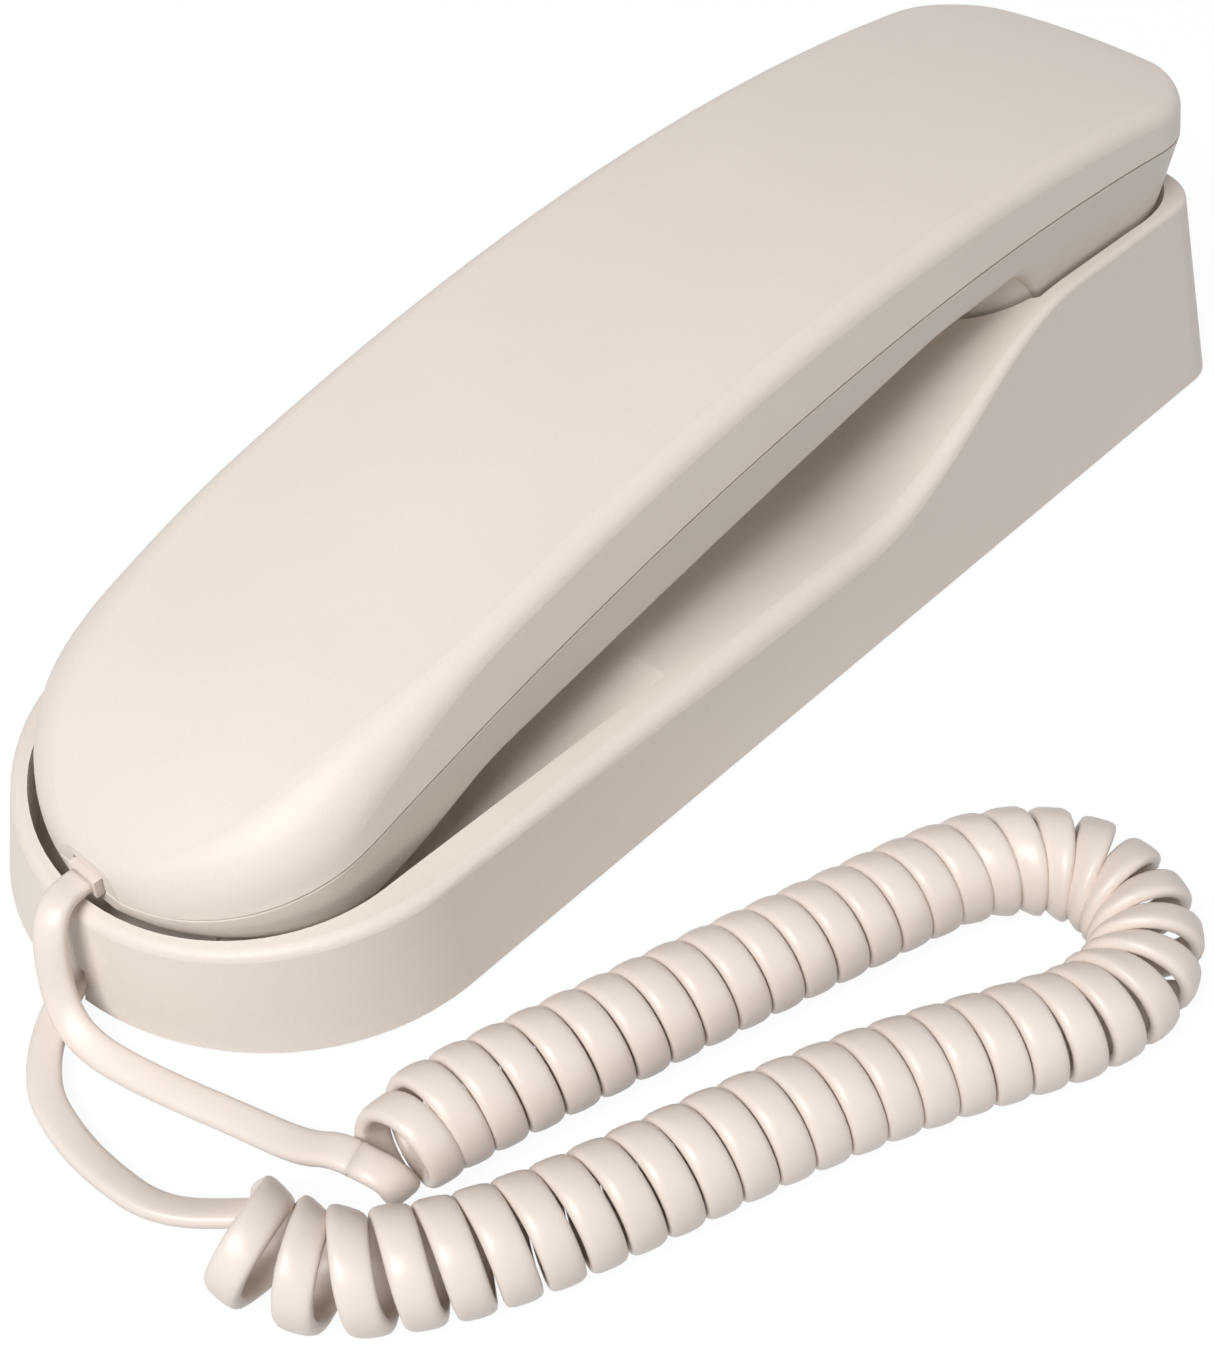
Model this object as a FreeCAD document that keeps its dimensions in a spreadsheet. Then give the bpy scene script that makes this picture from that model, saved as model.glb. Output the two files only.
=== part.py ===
"""Corded landline phone: a slim handset lying face down on its cradle, joined to it by a curly cord.

Millimetres. +Z is up, the long axis runs along Y, the mouthpiece and the cord are at -Y and the earpiece
is at +Y. The origin is on the table under the middle of the base.
"""

import FreeCAD, Part
import math
import os

Vector = FreeCAD.Vector

# Driving dimensions
driving = {
    # keypad, which sets the handset's width and most of its length
    "key_width": 11.0,
    "key_depth": 8.5,
    "function_key_width": 13.0,
    "function_key_depth": 6.0,
    "function_key_reach": 9.0,
    "column_pitch": 14.5,
    "row_pitch": 14.0,
    "function_pitch": 16.0,
    "keypad_end_margin": 15.0,
    "keypad_side_margin": 6.5,
    "key_proud": 1.5,
    "key_flange": 0.7,
    "key_flange_thickness": 1.2,
    "key_flange_gap": 0.1,
    "key_travel": 1.3,
    "key_gap": 0.35,
    "key_corner": 2.0,
    "key_edge_round": 0.6,
    # handset lengths, from the mouthpiece tip to the earpiece end
    "mouth_length": 46.0,
    "mouth_flat": 20.0,
    "ear_lead": 14.3,
    "ear_length": 65.3,
    "ear_corner": 17.0,
    "ear_shoulder_lead": 5.7,
    "ear_slope": 18.0,
    "ear_step": 0.4,
    "ear_edge_round": 3.0,
    "handset_near_bow": 23.0,
    "handset_far_bow": 22.0,
    # handset heights
    "seam_peak_back": 51.6,
    "ear_depth": 24.4,
    "tip_depth": 3.7,
    "back_height": 8.0,
    "back_peak_back": 64.6,
    "nose_height": 9.0,
    "throat_depth": 7.7,
    "grip_depth": 10.1,
    "shell_wall": 2.2,
    "shell_lean": 0.2,
    "face_lean": 0.13,
    "face_corner": 2.5,
    "shoulder_round": 3.3,
    "nose_round": 12.0,
    "nose_length": 30.0,
    "nose_blunt": 0.25,
    "face_blunt": 0.45,
    "end_length": 8.0,
    "end_lean": 0.85,
    "end_blunt": 0.6,
    "crown_angle": 4.0,
    "seam_gap": 0.4,
    # what lies behind the keys
    "dome_height": 1.0,
    "dome_radius": 3.2,
    "dome_gap": 0.3,
    "mat_thickness": 1.2,
    "mat_margin": 1.0,
    "handset_board_thickness": 1.6,
    "board_post_radius": 1.9,
    "board_post_inset": 3.0,
    # earpiece and mouthpiece
    "receiver_radius": 15.0,
    "receiver_height": 7.0,
    "receiver_inset": 36.6,
    "gasket_width": 4.0,
    "gasket_thickness": 1.0,
    "pedestal_height": 0.6,
    "microphone_radius": 4.8,
    "microphone_height": 5.0,
    "microphone_inset": 22.0,
    "boot_wall": 1.2,
    "boot_floor": 0.8,
    "sound_hole_radius": 0.9,
    "sound_hole_ring": 6.5,
    "mouth_hole_ring": 2.6,
    "mouth_hole_radius": 0.6,
    # handset screws and their bosses
    "handset_boss_radius": 3.4,
    "handset_boss_reach": 16.0,
    "handset_boss_inset": 26.0,
    "ear_boss_inset": 8.5,
    "handset_boss_height": 10.0,
    "handset_counterbore": 4.0,
    # cradle plan
    "near_margin": 6.0,
    "far_margin": 0.4,
    "side_margin_near": 9.6,
    "side_margin_far": 7.8,
    "base_near_bow": 34.0,
    "base_far_corner": 9.2,
    "base_lean": 0.2,
    "base_wall": 2.4,
    "roof": 2.0,
    "mouth_gap": 1.4,
    "ear_gap": 0.8,
    "rim_round": 1.6,
    "saddle_round": 3.2,
    "ear_rim_round": 0.9,
    # cradle heights over the pockets' floors
    "lip_height": 5.6,
    "saddle_height": 9.4,
    "ear_wall_height": 12.4,
    "back_wall_height": 12.4,
    "mouth_rest": 4.0,
    "ear_rest": 1.5,
    "rest_gap": 0.4,
    "rest_rib_width": 2.5,
    "mouth_rib_reach": 12.0,
    "ear_rib_reach": 15.0,
    # cradle's pocket and saddle, along the length
    "pocket_floor_lead": 4.0,
    "ramp_length": 32.0,
    "saddle_lead": 20.0,
    "rise_lead": 22.0,
    "rise_length": 56.0,
    # base plate, feet and screws
    "foot_height": 1.0,
    "foot_radius": 5.5,
    "foot_inset": 16.0,
    "foot_reach": 22.0,
    "plate_thickness": 2.0,
    "plate_gap": 0.25,
    "base_boss_radius": 3.2,
    "base_boss_reach": 22.0,
    "base_boss_near": 60.0,
    "base_boss_far": 18.0,
    "screw_head_radius": 2.6,
    "screw_head_height": 1.3,
    "screw_radius": 1.25,
    "screw_length": 7.0,
    "screw_gap": 0.05,
    "screw_slot": 0.7,
    "small_screw_radius": 0.9,
    "small_screw_head_radius": 1.7,
    "small_screw_head_height": 1.0,
    "small_screw_length": 4.5,
    # inside the base
    "post_height": 4.0,
    "post_radius": 2.2,
    "post_inset": 4.0,
    "base_board_width": 36.0,
    "base_board_length": 53.0,
    "base_board_thickness": 1.6,
    "board_end_gap": 1.0,
    "jack_width": 15.0,
    "jack_depth": 14.0,
    "jack_height": 11.0,
    "jack_socket_width": 9.7,
    "jack_socket_height": 6.7,
    "jack_socket_depth": 11.0,
    "jack_recess": 0.3,
    "jack_gap": 0.4,
    "hook_inset": 10.0,
    "hook_radius": 5.0,
    "hook_gap": 0.3,
    "hook_travel": 4.0,
    "hook_flange": 2.0,
    "hook_flange_thickness": 1.5,
    "hook_stem_radius": 2.4,
    "hook_switch_width": 5.0,
    "hook_switch_height": 3.7,
    "spring_radius": 4.5,
    "spring_wire": 0.8,
    "spring_turns": 3.5,
    "spring_gap": 0.1,
    "ringer_radius": 12.0,
    "ringer_height": 5.0,
    "ringer_lead": 4.0,
    "ballast_width": 46.0,
    "ballast_length": 36.0,
    "ballast_thickness": 2.5,
    "knob_reach": 14.5,
    "knob_width": 4.0,
    "knob_height": 2.6,
    "knob_proud": 1.2,
    "knob_travel": 3.0,
    "knob_gap": 0.35,
    "ringer_switch_width": 5.0,
    "ringer_switch_depth": 6.0,
    "ringer_switch_height": 3.4,
    # cord, its anchors and the wires inside
    "anchor_width": 9.0,
    "anchor_length": 8.0,
    "anchor_height": 2.8,
    "anchor_inset": 10.0,
    "anchor_gap": 0.2,
    "notch_width": 6.4,
    "notch_height": 4.6,
    "handset_anchor_length": 6.0,
    "handset_anchor_inset": 7.5,
    "handset_anchor_height": 3.0,
    "cord_exit_width": 5.2,
    "cord_exit_height": 2.6,
    "cord_exit_gap": 0.3,
    "cord_exit_proud": 0.6,
    "cord_exit_lift": 0.8,
    "cord_wire": 1.9,
    "floor_gap": 0.05,
    "curl_radius": 5.8,
    "curl_start_radius": 2.6,
    "curl_growth": 6.0,
    "curl_turns": 48.5,
    "loose_length": 30.0,
    "loose_share": 0.5,
    "inner_wire": 1.5,
}

doc = FreeCAD.newDocument("corded_phone")
sheet = doc.addObject("Spreadsheet::Sheet", "sizes")
for row, (alias, number) in enumerate(driving.items(), start=1):
    sheet.set("A%d" % row, alias)
    sheet.set("B%d" % row, str(number))
    sheet.setAlias("B%d" % row, alias)
doc.recompute()


def size(alias):
    return float(sheet.get(alias))


nodes = []


def node(label, item):
    item.Label = label
    nodes.append(item)
    return item


def bound(kind, name, **cells):
    item = doc.addObject("Part::" + kind, name)
    for prop, text in cells.items():
        item.setExpression(prop, text)
    item.recompute()
    return item


def box(name, length, width, height, x, y, z):
    """A block centred on x and y, standing on z."""
    item = bound("Box", name, Length=length, Width=width, Height=height)
    item.Placement.Base = Vector(x - item.Length.Value / 2, y - item.Width.Value / 2, z)
    return item


def rod(name, radius, height, x, y, z):
    """An upright cylinder standing on z."""
    item = bound("Cylinder", name, Radius=radius, Height=height)
    item.Placement.Base = Vector(x, y, z)
    return item


def join(name, items):
    item = doc.addObject("Part::MultiFuse", name)
    item.Shapes = items
    item.Refine = True
    item.recompute()
    return item


def cut(name, body, tools):
    tool = tools[0] if len(tools) == 1 else join(name + "_cuts", tools)
    item = doc.addObject("Part::Cut", name)
    item.Base = body
    item.Tool = tool
    item.recompute()
    return item


def group(name, items):
    item = doc.addObject("Part::Compound", name)
    item.Links = items
    item.recompute()
    return item


def formed(name, shape):
    item = doc.addObject("Part::Feature", name)
    item.Shape = shape
    return item


def line(first, last):
    return Part.LineSegment(first, last).toShape()


def arc(first, middle, last):
    return Part.Arc(first, middle, last).toShape()


def quarter(first, corner, last):
    """A quarter of an ellipse from first to last, inside the corner."""
    curve = Part.BezierCurve()
    curve.setPoles([first, corner, last])
    curve.setWeight(2, math.sqrt(0.5))
    return curve.toShape()


def across(edges, reach):
    """A closed profile in the YZ plane, stretched to reach on both sides of the middle."""
    face = Part.Face(Part.Wire(edges))
    face.translate(Vector(-reach, 0, 0))
    return face.extrude(Vector(2 * reach, 0, 0))


def closed(corners):
    """Straight edges from corner to corner and back to the first."""
    return [line(a, b) for a, b in zip(corners, corners[1:] + corners[:1])]


def ease(share):
    share = min(max(share, 0.0), 1.0)
    return share * share * (3 - 2 * share)


def bulge(share):
    """Height share of a quarter ellipse, from 0 at its tip to 1."""
    share = min(max(share, 0.0), 1.0)
    return math.sqrt(1 - (1 - share) ** 2)


# Heights, built up from the table
under = size("foot_height")
plate_top = under + size("plate_thickness")
board_under = plate_top + size("post_height")
board_top = board_under + size("base_board_thickness")
ear_roof = board_top + size("jack_height") + size("jack_gap")
ear_floor = ear_roof + size("roof")
mouth_roof = plate_top + size("anchor_height") + size("anchor_gap")
mouth_floor = mouth_roof + size("roof")
ear_bottom = ear_floor + size("ear_rest")
mouth_bottom = mouth_floor + size("mouth_rest")
rim_near = mouth_floor + size("lip_height")
rim_side = mouth_floor + size("saddle_height")
rim_far = ear_floor + size("ear_wall_height")
rim_back = ear_floor + size("back_wall_height")
seam_peak = ear_bottom + size("ear_depth")
seam_tip = mouth_bottom + size("tip_depth")
back_peak = seam_peak + size("back_height")
back_tip = seam_tip + size("nose_height")

# Lengths, built up from the mouthpiece tip
keypad_length = 3 * size("row_pitch") + size("function_pitch") + 2 * size("keypad_end_margin")
handset_length = size("mouth_length") + keypad_length + size("ear_lead") + size("ear_length")
base_length = handset_length + size("near_margin") + size("far_margin")
base_end = base_length / 2
front = -base_end + size("near_margin")
back = front + handset_length
mouth_from = front + size("mouth_length")
mouth_to = front + size("mouth_flat")
ear_from = mouth_from + keypad_length
cup_front = ear_from + size("ear_lead")
shoulder_from = cup_front + size("ear_shoulder_lead")
seam_peak_y = back - size("seam_peak_back")
back_peak_y = back - size("back_peak_back")

# Widths
handset_half = (
    size("column_pitch") + size("key_width") / 2 + size("key_flange") + size("keypad_side_margin")
)
base_half_near = handset_half + size("side_margin_near")
base_half_far = handset_half + size("side_margin_far")
past = 20.0 * size("roof")


# Handset curves along the length
def seam(y):
    share = (y - seam_peak_y) / (front - seam_peak_y)
    return seam_peak - (seam_peak - seam_tip) * share * share


def back_line(y):
    share = (y - back_peak_y) / (front - back_peak_y)
    return back_peak - (back_peak - back_tip) * share * share


face_slope = (
    seam(ear_from) - size("throat_depth") - seam(mouth_from) + size("grip_depth")
) / keypad_length


def face_line(y):
    return seam(mouth_from) - size("grip_depth") + face_slope * (y - mouth_from)


def lower_line(y):
    """The handset's underside: mouth bulge, sloping keypad face, strip under the seam, ear bulge."""
    low = face_line(y) if y < ear_from else seam(y) - size("throat_depth")
    low -= (low - mouth_bottom) * ease((mouth_from - y) / (mouth_from - mouth_to))
    return low - (low - ear_bottom) * ease((y - shoulder_from) / size("ear_slope"))


def plan_half(y, inset):
    """Half the handset's width at the seam."""
    half = handset_half - inset
    bow = size("handset_near_bow") - inset
    far_bow = size("handset_far_bow") - inset
    return half * bulge((y - front - inset) / bow) * bulge((back - inset - y) / far_bow)


def end_share(y, inset, blunt):
    """How much of its full height a shell has near the tip and near the far end."""
    near = bulge((y - front - inset) / (size("nose_length") - inset / 2))
    far = bulge((back - inset - y) / (size("end_length") - inset / 2))
    return (blunt + (1 - blunt) * near) * (blunt + (1 - blunt) * far)


def section(y, half, root, edge, lean, crown, radius):
    """One slice of a shell, from the seam at root to its shoulder at edge."""
    sign = 1 if edge > root else -1
    depth = abs(edge - root)
    wall = Vector(-lean, 0, sign).normalize()
    flat = Vector(-math.cos(crown), 0, sign * math.sin(crown))
    corner = Vector(half - lean * depth, y, edge)
    turn = wall.getAngle(flat)
    radius = min(radius, 0.75 * min(depth, corner.x) / math.tan(turn / 2))
    first = corner - wall * (radius * math.tan(turn / 2))
    last = corner + flat * (radius * math.tan(turn / 2))
    inward = (flat - wall).normalize()
    middle = corner + inward * (radius / math.cos(turn / 2) - radius)
    start = Vector(half, y, root)

    def mirrored(point):
        return Vector(-point.x, point.y, point.z)

    top = Vector(0, y, last.z + sign * last.x * math.tan(crown / 2))
    crest = arc(last, top, mirrored(last)) if crown else line(last, mirrored(last))
    return Part.Wire([
        line(start, first),
        arc(first, middle, last),
        crest,
        arc(mirrored(last), mirrored(middle), mirrored(first)),
        line(mirrored(first), mirrored(start)),
        line(mirrored(start), start),
    ])


def stations(inset):
    """Slices evenly spaced along the sides, closer together round the tip and the far end."""
    bow = size("handset_near_bow") - inset
    far_bow = size("handset_far_bow") - inset
    near_end = front + inset + bow
    far_end = back - inset - far_bow
    between = int((far_end - near_end) / (0.2 * size("handset_near_bow")))
    places = [near_end - bow * math.cos(math.radians(angle)) for angle in (12, 24, 36, 48, 60, 70, 80)]
    places += [near_end + (far_end - near_end) * i / between for i in range(between + 1)]
    places += [far_end + far_bow * math.sin(math.radians(angle)) for angle in (15, 30, 44, 57, 69, 78)]
    return places


def back_loft(inset, drop):
    """The handset's upper half, from drop under the seam up."""
    crown = math.radians(size("crown_angle"))
    lean = size("shell_lean")
    wires = []
    for y in stations(inset):
        share = end_share(y, inset, size("nose_blunt"))
        edge = seam(y) + (back_line(y) - inset - seam(y)) * share
        nose = ease((y - front) / (1.6 * size("nose_length")))
        radius = size("nose_round") + (size("shoulder_round") - size("nose_round")) * nose
        half = plan_half(y, inset) + lean * drop
        wires.append(section(y, half, seam(y) - drop, edge, lean, crown, max(radius - inset, 1.0)))
    return Part.makeLoft(wires, True, False)


def face_loft(inset, rise, gap):
    """The handset's lower half, from rise over the seam down."""
    lean = size("face_lean")
    wires = []
    for y in stations(inset):
        top = seam(y) - gap
        depth = (top - lower_line(y) - inset) * end_share(y, inset, size("face_blunt"))
        depth = min(depth, size("end_blunt") + (back - inset - y) / size("end_lean"))
        half = plan_half(y, inset) + lean * rise
        radius = max(size("face_corner") - inset, 0.8)
        wires.append(section(y, half, top + rise, top - depth, lean, 0.0, radius))
    return Part.makeLoft(wires, True, False)


def ear_outline(inset, z):
    """Plan of the ear bulge's round front, which leans in as the strip over it does."""
    aside = inset + size("face_lean") * (seam_peak - z)
    half = handset_half - size("ear_step") - aside
    near = cup_front + aside
    corner = size("ear_corner") - aside
    far = shoulder_from + 1.2 * size("ear_slope") - aside

    def at(x, y):
        return Vector(x, y, z)

    return Part.Wire([
        line(at(corner - half, near), at(half - corner, near)),
        quarter(at(half - corner, near), at(half, near), at(half, near + corner)),
        line(at(half, near + corner), at(half, far)),
        line(at(half, far), at(-half, far)),
        line(at(-half, far), at(-half, near + corner)),
        quarter(at(-half, near + corner), at(-half, near), at(corner - half, near)),
    ])


def ear_cup(inset, high):
    """The round front of the ear bulge, up to high."""
    low = ear_bottom + inset
    cup = Part.makeLoft([ear_outline(inset, low), ear_outline(inset, high)], True, True)
    edge = [e for e in cup.Edges if e.BoundBox.ZMax < low + 1e-3 and e.BoundBox.YMin < shoulder_from]
    return cup.makeFillet(max(size("ear_edge_round") - inset, 0.8), edge)


def handset_lower(inset, rise, gap, high):
    """The whole of the handset's lower half, strip and ear bulge."""
    return face_loft(inset, rise, gap).fuse(ear_cup(inset, high))


# The keypad's own frame: x across, y up the slope, z into the handset from the face
face_turn = math.degrees(math.atan(face_slope))
keypad_middle = (mouth_from + ear_from) / 2
face_frame = FreeCAD.Placement(
    Vector(0, keypad_middle, face_line(keypad_middle)),
    FreeCAD.Rotation(Vector(1, 0, 0), face_turn),
)
function_row = -keypad_length / 2 + size("keypad_end_margin")
first_row = function_row + size("function_pitch") + 3 * size("row_pitch")
flange_at = size("shell_wall") + size("key_flange_gap")
flange_in = flange_at + size("key_flange_thickness")
dome_at = flange_in + size("key_travel") + size("dome_gap")
mat_at = dome_at + size("dome_height")
board_at = mat_at + size("mat_thickness")
screw_seat = board_at + size("handset_board_thickness")


def on_face(item):
    item.Placement = face_frame.multiply(item.Placement)
    return item


# Name, width and depth sizes, and place on the keypad of every key
key_names = [["1", "2", "3"], ["4", "5", "6"], ["7", "8", "9"], ["star", "0", "hash"]]
keys = []
for row, names in enumerate(key_names):
    for column, name in enumerate(names):
        keys.append((
            "key_" + name,
            "key_width",
            "key_depth",
            (1 - column) * size("column_pitch"),
            first_row - row * size("row_pitch"),
        ))
for name, side in (("flash", 1), ("redial", -1)):
    keys.append((
        "key_" + name,
        "function_key_width",
        "function_key_depth",
        side * size("function_key_reach"),
        function_row,
    ))


def rounded(name, block, radius, picks):
    """A block with the picked edges rounded."""
    item = doc.addObject("Part::Fillet", name)
    item.Base = block
    item.Edges = [(i, radius, radius) for i, edge in enumerate(block.Shape.Edges, start=1) if picks(edge)]
    item.recompute()
    return item


def upright(edge):
    return edge.BoundBox.ZLength > 1e-3


def make_key(label, width, depth, x, y):
    cap = box(
        label + "_cap",
        "sizes.%s" % width,
        "sizes.%s" % depth,
        "sizes.key_proud + %f" % flange_at,
        x,
        y,
        -size("key_proud"),
    )
    corners = rounded(label + "_corners", cap, size("key_corner"), upright)
    edges = rounded(
        label + "_edges",
        corners,
        size("key_edge_round"),
        lambda edge: edge.BoundBox.ZMax < -size("key_proud") + 1e-3,
    )
    flange = box(
        label + "_flange",
        "sizes.%s + 2 * sizes.key_flange" % width,
        "sizes.%s + 2 * sizes.key_flange" % depth,
        "sizes.key_flange_thickness",
        x,
        y,
        flange_at,
    )
    node(label, on_face(join(label, [edges, flange])))


for key in keys:
    make_key(*key)

board_posts = [
    (side * size("column_pitch"), end * (keypad_length / 2 - size("board_post_inset")))
    for side in (1, -1)
    for end in (1, -1)
]


def make_keypad_stack():
    mat_length = 3 * size("row_pitch") + size("function_pitch") + size("key_depth") + 2 * size("mat_margin")
    mat = box(
        "mat_sheet",
        "2 * sizes.column_pitch + sizes.key_width + 2 * sizes.mat_margin",
        "%f" % mat_length,
        "sizes.mat_thickness",
        0,
        (first_row + function_row) / 2,
        mat_at,
    )
    domes = []
    for label, width, depth, x, y in keys:
        dome = bound(
            "Cone",
            label + "_dome",
            Radius1="0.7 * sizes.dome_radius",
            Radius2="sizes.dome_radius",
            Height="sizes.dome_height",
        )
        dome.Placement.Base = Vector(x, y, dome_at)
        domes.append(dome)
    node("keypad_mat", on_face(join("keypad_mat", [mat] + domes)))
    sheet_board = box(
        "handset_board_sheet",
        "2 * sizes.column_pitch + sizes.key_width + 2 * sizes.mat_margin",
        "%f" % keypad_length,
        "sizes.handset_board_thickness",
        0,
        0,
        board_at,
    )
    holes = [
        rod(
            "board_hole_%d" % i,
            "sizes.small_screw_radius + sizes.screw_gap",
            "3 * sizes.handset_board_thickness",
            x,
            y,
            board_at - size("handset_board_thickness"),
        )
        for i, (x, y) in enumerate(board_posts)
    ]
    node("handset_board", on_face(cut("handset_board", sheet_board, holes)))


make_keypad_stack()


def screw(name, small, seat, x, y, downward):
    """A slotted screw whose head bears on seat, pointing down or up."""
    kind = "small_screw" if small else "screw"
    head = rod(
        name + "_head",
        "sizes.%s_head_radius" % kind,
        "sizes.%s_head_height" % kind,
        0,
        0,
        0,
    )
    shank = rod(
        name + "_shank",
        "sizes.%s_radius" % kind,
        "sizes.%s_length" % kind,
        0,
        0,
        -size(kind + "_length"),
    )
    slot = box(
        name + "_slot",
        "3 * sizes.%s_head_radius" % kind,
        "sizes.screw_slot",
        "sizes.%s_head_height" % kind,
        0,
        0,
        size(kind + "_head_height") / 2,
    )
    item = cut(name, join(name + "_blank", [head, shank]), [slot])
    turn = FreeCAD.Rotation() if downward else FreeCAD.Rotation(Vector(1, 0, 0), 180)
    item.Placement = FreeCAD.Placement(Vector(x, y, seat), turn)
    return item


board_screw_items = [
    on_face(screw("board_screw_%d" % i, True, screw_seat, x, y, True))
    for i, (x, y) in enumerate(board_posts)
]
node("board_screws", group("board_screws", board_screw_items))

receiver_y = back - size("receiver_inset")
microphone_y = front + size("microphone_inset")
ear_seat = ear_bottom + size("shell_wall") + size("pedestal_height")
mouth_seat = lower_line(microphone_y) + size("shell_wall") + 2 * size("pedestal_height")
boot_radius = size("microphone_radius") + size("boot_wall")
mouth_boss_y = front + size("handset_boss_inset")
handset_bosses = [
    (size("handset_boss_reach"), mouth_boss_y, lower_line(mouth_boss_y)),
    (-size("handset_boss_reach"), mouth_boss_y, lower_line(mouth_boss_y)),
    (0.0, cup_front + size("ear_boss_inset"), ear_bottom),
]
exit_z = seam_tip + size("cord_exit_lift")
anchor_y = front + size("handset_anchor_inset") + size("handset_anchor_length") / 2
anchor_seat = mouth_bottom + size("shell_wall") + 2 * size("pedestal_height")


def upright_cylinder(radius, low, high, x, y):
    return Part.makeCylinder(radius, high - low, Vector(x, y, low))


def block(width, depth, low, high, x, y):
    return Part.makeBox(width, depth, high - low, Vector(x - width / 2, y - depth / 2, low))


def cord_exit_opening():
    width = size("cord_exit_width") + 2 * size("cord_exit_gap")
    height = size("cord_exit_height") + 2 * size("cord_exit_gap")
    return block(width, 2 * size("handset_anchor_inset"), exit_z - height / 2, exit_z + height / 2, 0, front)


def make_handset_back():
    shell = back_loft(0.0, 0.0).cut(back_loft(size("shell_wall"), size("shell_wall")))
    room = back_loft(0.5 * size("shell_wall"), 0.0)
    for x, y, low in handset_bosses:
        joint = low + size("handset_boss_height")
        boss = upright_cylinder(size("handset_boss_radius"), joint, back_peak + past, x, y)
        pilot = upright_cylinder(
            size("screw_radius") + size("screw_gap"), joint, joint + size("screw_length"), x, y
        )
        above = boss.common(room)
        under_seam = upright_cylinder(size("handset_boss_radius"), joint, seam(y) + size("roof"), x, y)
        shell = shell.fuse(above).fuse(under_seam).cut(pilot)
    shell = shell.cut(cord_exit_opening()).removeSplitter()
    node("handset_back", formed("handset_back", shell))


def ring(count, radius, x, y):
    """Points evenly spaced on a circle."""
    turns = [2 * math.pi * i / count for i in range(count)]
    return [(x + radius * math.cos(turn), y + radius * math.sin(turn)) for turn in turns]


def key_opening(width, depth, x, y):
    wide = size(width) + 2 * size("key_gap")
    deep = size(depth) + 2 * size("key_gap")
    hole = block(wide, deep, -past, flange_at, x, y)
    hole = hole.makeFillet(size("key_corner") + size("key_gap"), [e for e in hole.Edges if upright(e)])
    hole.Placement = face_frame
    return hole


def make_handset_face():
    wall = size("shell_wall")
    outer = handset_lower(0.0, 0.0, size("seam_gap"), seam_peak - 0.5 * size("throat_depth"))
    shell = outer.cut(handset_lower(wall, wall, size("seam_gap"), seam_peak + wall))
    pads = []
    holes = [cord_exit_opening()]
    for x, y, low in handset_bosses:
        joint = low + size("handset_boss_height")
        seat = low + size("handset_counterbore")
        pads.append(upright_cylinder(size("handset_boss_radius"), mouth_bottom - past, joint, x, y))
        holes.append(
            upright_cylinder(size("screw_head_radius") + size("hook_gap"), mouth_bottom - past, seat, x, y)
        )
        holes.append(upright_cylinder(size("screw_radius") + size("screw_gap"), seat, joint + past, x, y))
    pads.append(upright_cylinder(size("receiver_radius"), ear_floor, ear_seat, 0, receiver_y))
    pads.append(upright_cylinder(boot_radius, mouth_floor, mouth_seat, 0, microphone_y))
    pads.append(
        block(size("anchor_width"), size("handset_anchor_length"), mouth_floor, anchor_seat, 0, anchor_y)
    )
    for x, y in board_posts:
        post = upright_cylinder(size("board_post_radius"), -past, board_at, x, y)
        post.Placement = face_frame
        pads.append(post)
        pilot = upright_cylinder(
            size("small_screw_radius") + size("screw_gap"),
            screw_seat - size("small_screw_length") - size("hook_gap"),
            screw_seat,
            x,
            y,
        )
        pilot.Placement = face_frame
        holes.append(pilot)
    for label, width, depth, x, y in keys:
        holes.append(key_opening(width, depth, x, y))
    for x, y in ring(8, size("sound_hole_ring"), 0, receiver_y) + [(0, receiver_y)]:
        holes.append(upright_cylinder(size("sound_hole_radius"), ear_floor, ear_seat + past, x, y))
    for x, y in ring(5, size("mouth_hole_ring"), 0, microphone_y):
        holes.append(upright_cylinder(size("mouth_hole_radius"), mouth_floor, mouth_seat + past, x, y))
    shell = shell.fuse([pad.common(outer) for pad in pads]).cut(Part.makeCompound(holes)).removeSplitter()
    node("handset_face", formed("handset_face", shell))


make_handset_back()
make_handset_face()

handset_screw_items = [
    screw("handset_screw_%d" % i, False, low + size("handset_counterbore"), x, y, False)
    for i, (x, y, low) in enumerate(handset_bosses)
]
node("handset_screws", group("handset_screws", handset_screw_items))


def make_receiver():
    disc = rod("receiver_ring", "sizes.receiver_radius", "sizes.gasket_thickness", 0, receiver_y, ear_seat)
    bore = rod(
        "receiver_ring_bore",
        "sizes.receiver_radius - sizes.gasket_width",
        "sizes.gasket_thickness",
        0,
        receiver_y,
        ear_seat,
    )
    node("receiver_gasket", cut("receiver_gasket", disc, [bore]))
    seat = ear_seat + size("gasket_thickness")
    can = rod(
        "receiver_can", "sizes.receiver_radius", "0.6 * sizes.receiver_height", 0, receiver_y, seat
    )
    hub = rod(
        "receiver_hub", "0.6 * sizes.receiver_radius", "sizes.receiver_height", 0, receiver_y, seat
    )
    node("receiver", join("receiver", [can, hub]))


def make_microphone():
    cup = rod(
        "boot_cup",
        "sizes.microphone_radius + sizes.boot_wall",
        "sizes.boot_floor + sizes.microphone_height",
        0,
        microphone_y,
        mouth_seat,
    )
    floor_top = mouth_seat + size("boot_floor")
    bore = rod(
        "boot_bore",
        "sizes.microphone_radius + sizes.screw_gap",
        "sizes.microphone_height",
        0,
        microphone_y,
        floor_top,
    )
    hole = rod(
        "boot_hole",
        "sizes.mouth_hole_ring + sizes.mouth_hole_radius",
        "2 * sizes.boot_floor",
        0,
        microphone_y,
        mouth_seat - size("boot_floor") / 2,
    )
    node("microphone_boot", cut("microphone_boot", cup, [bore, hole]))
    capsule = rod(
        "microphone", "sizes.microphone_radius", "sizes.microphone_height", 0, microphone_y, floor_top
    )
    node("microphone", capsule)


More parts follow.
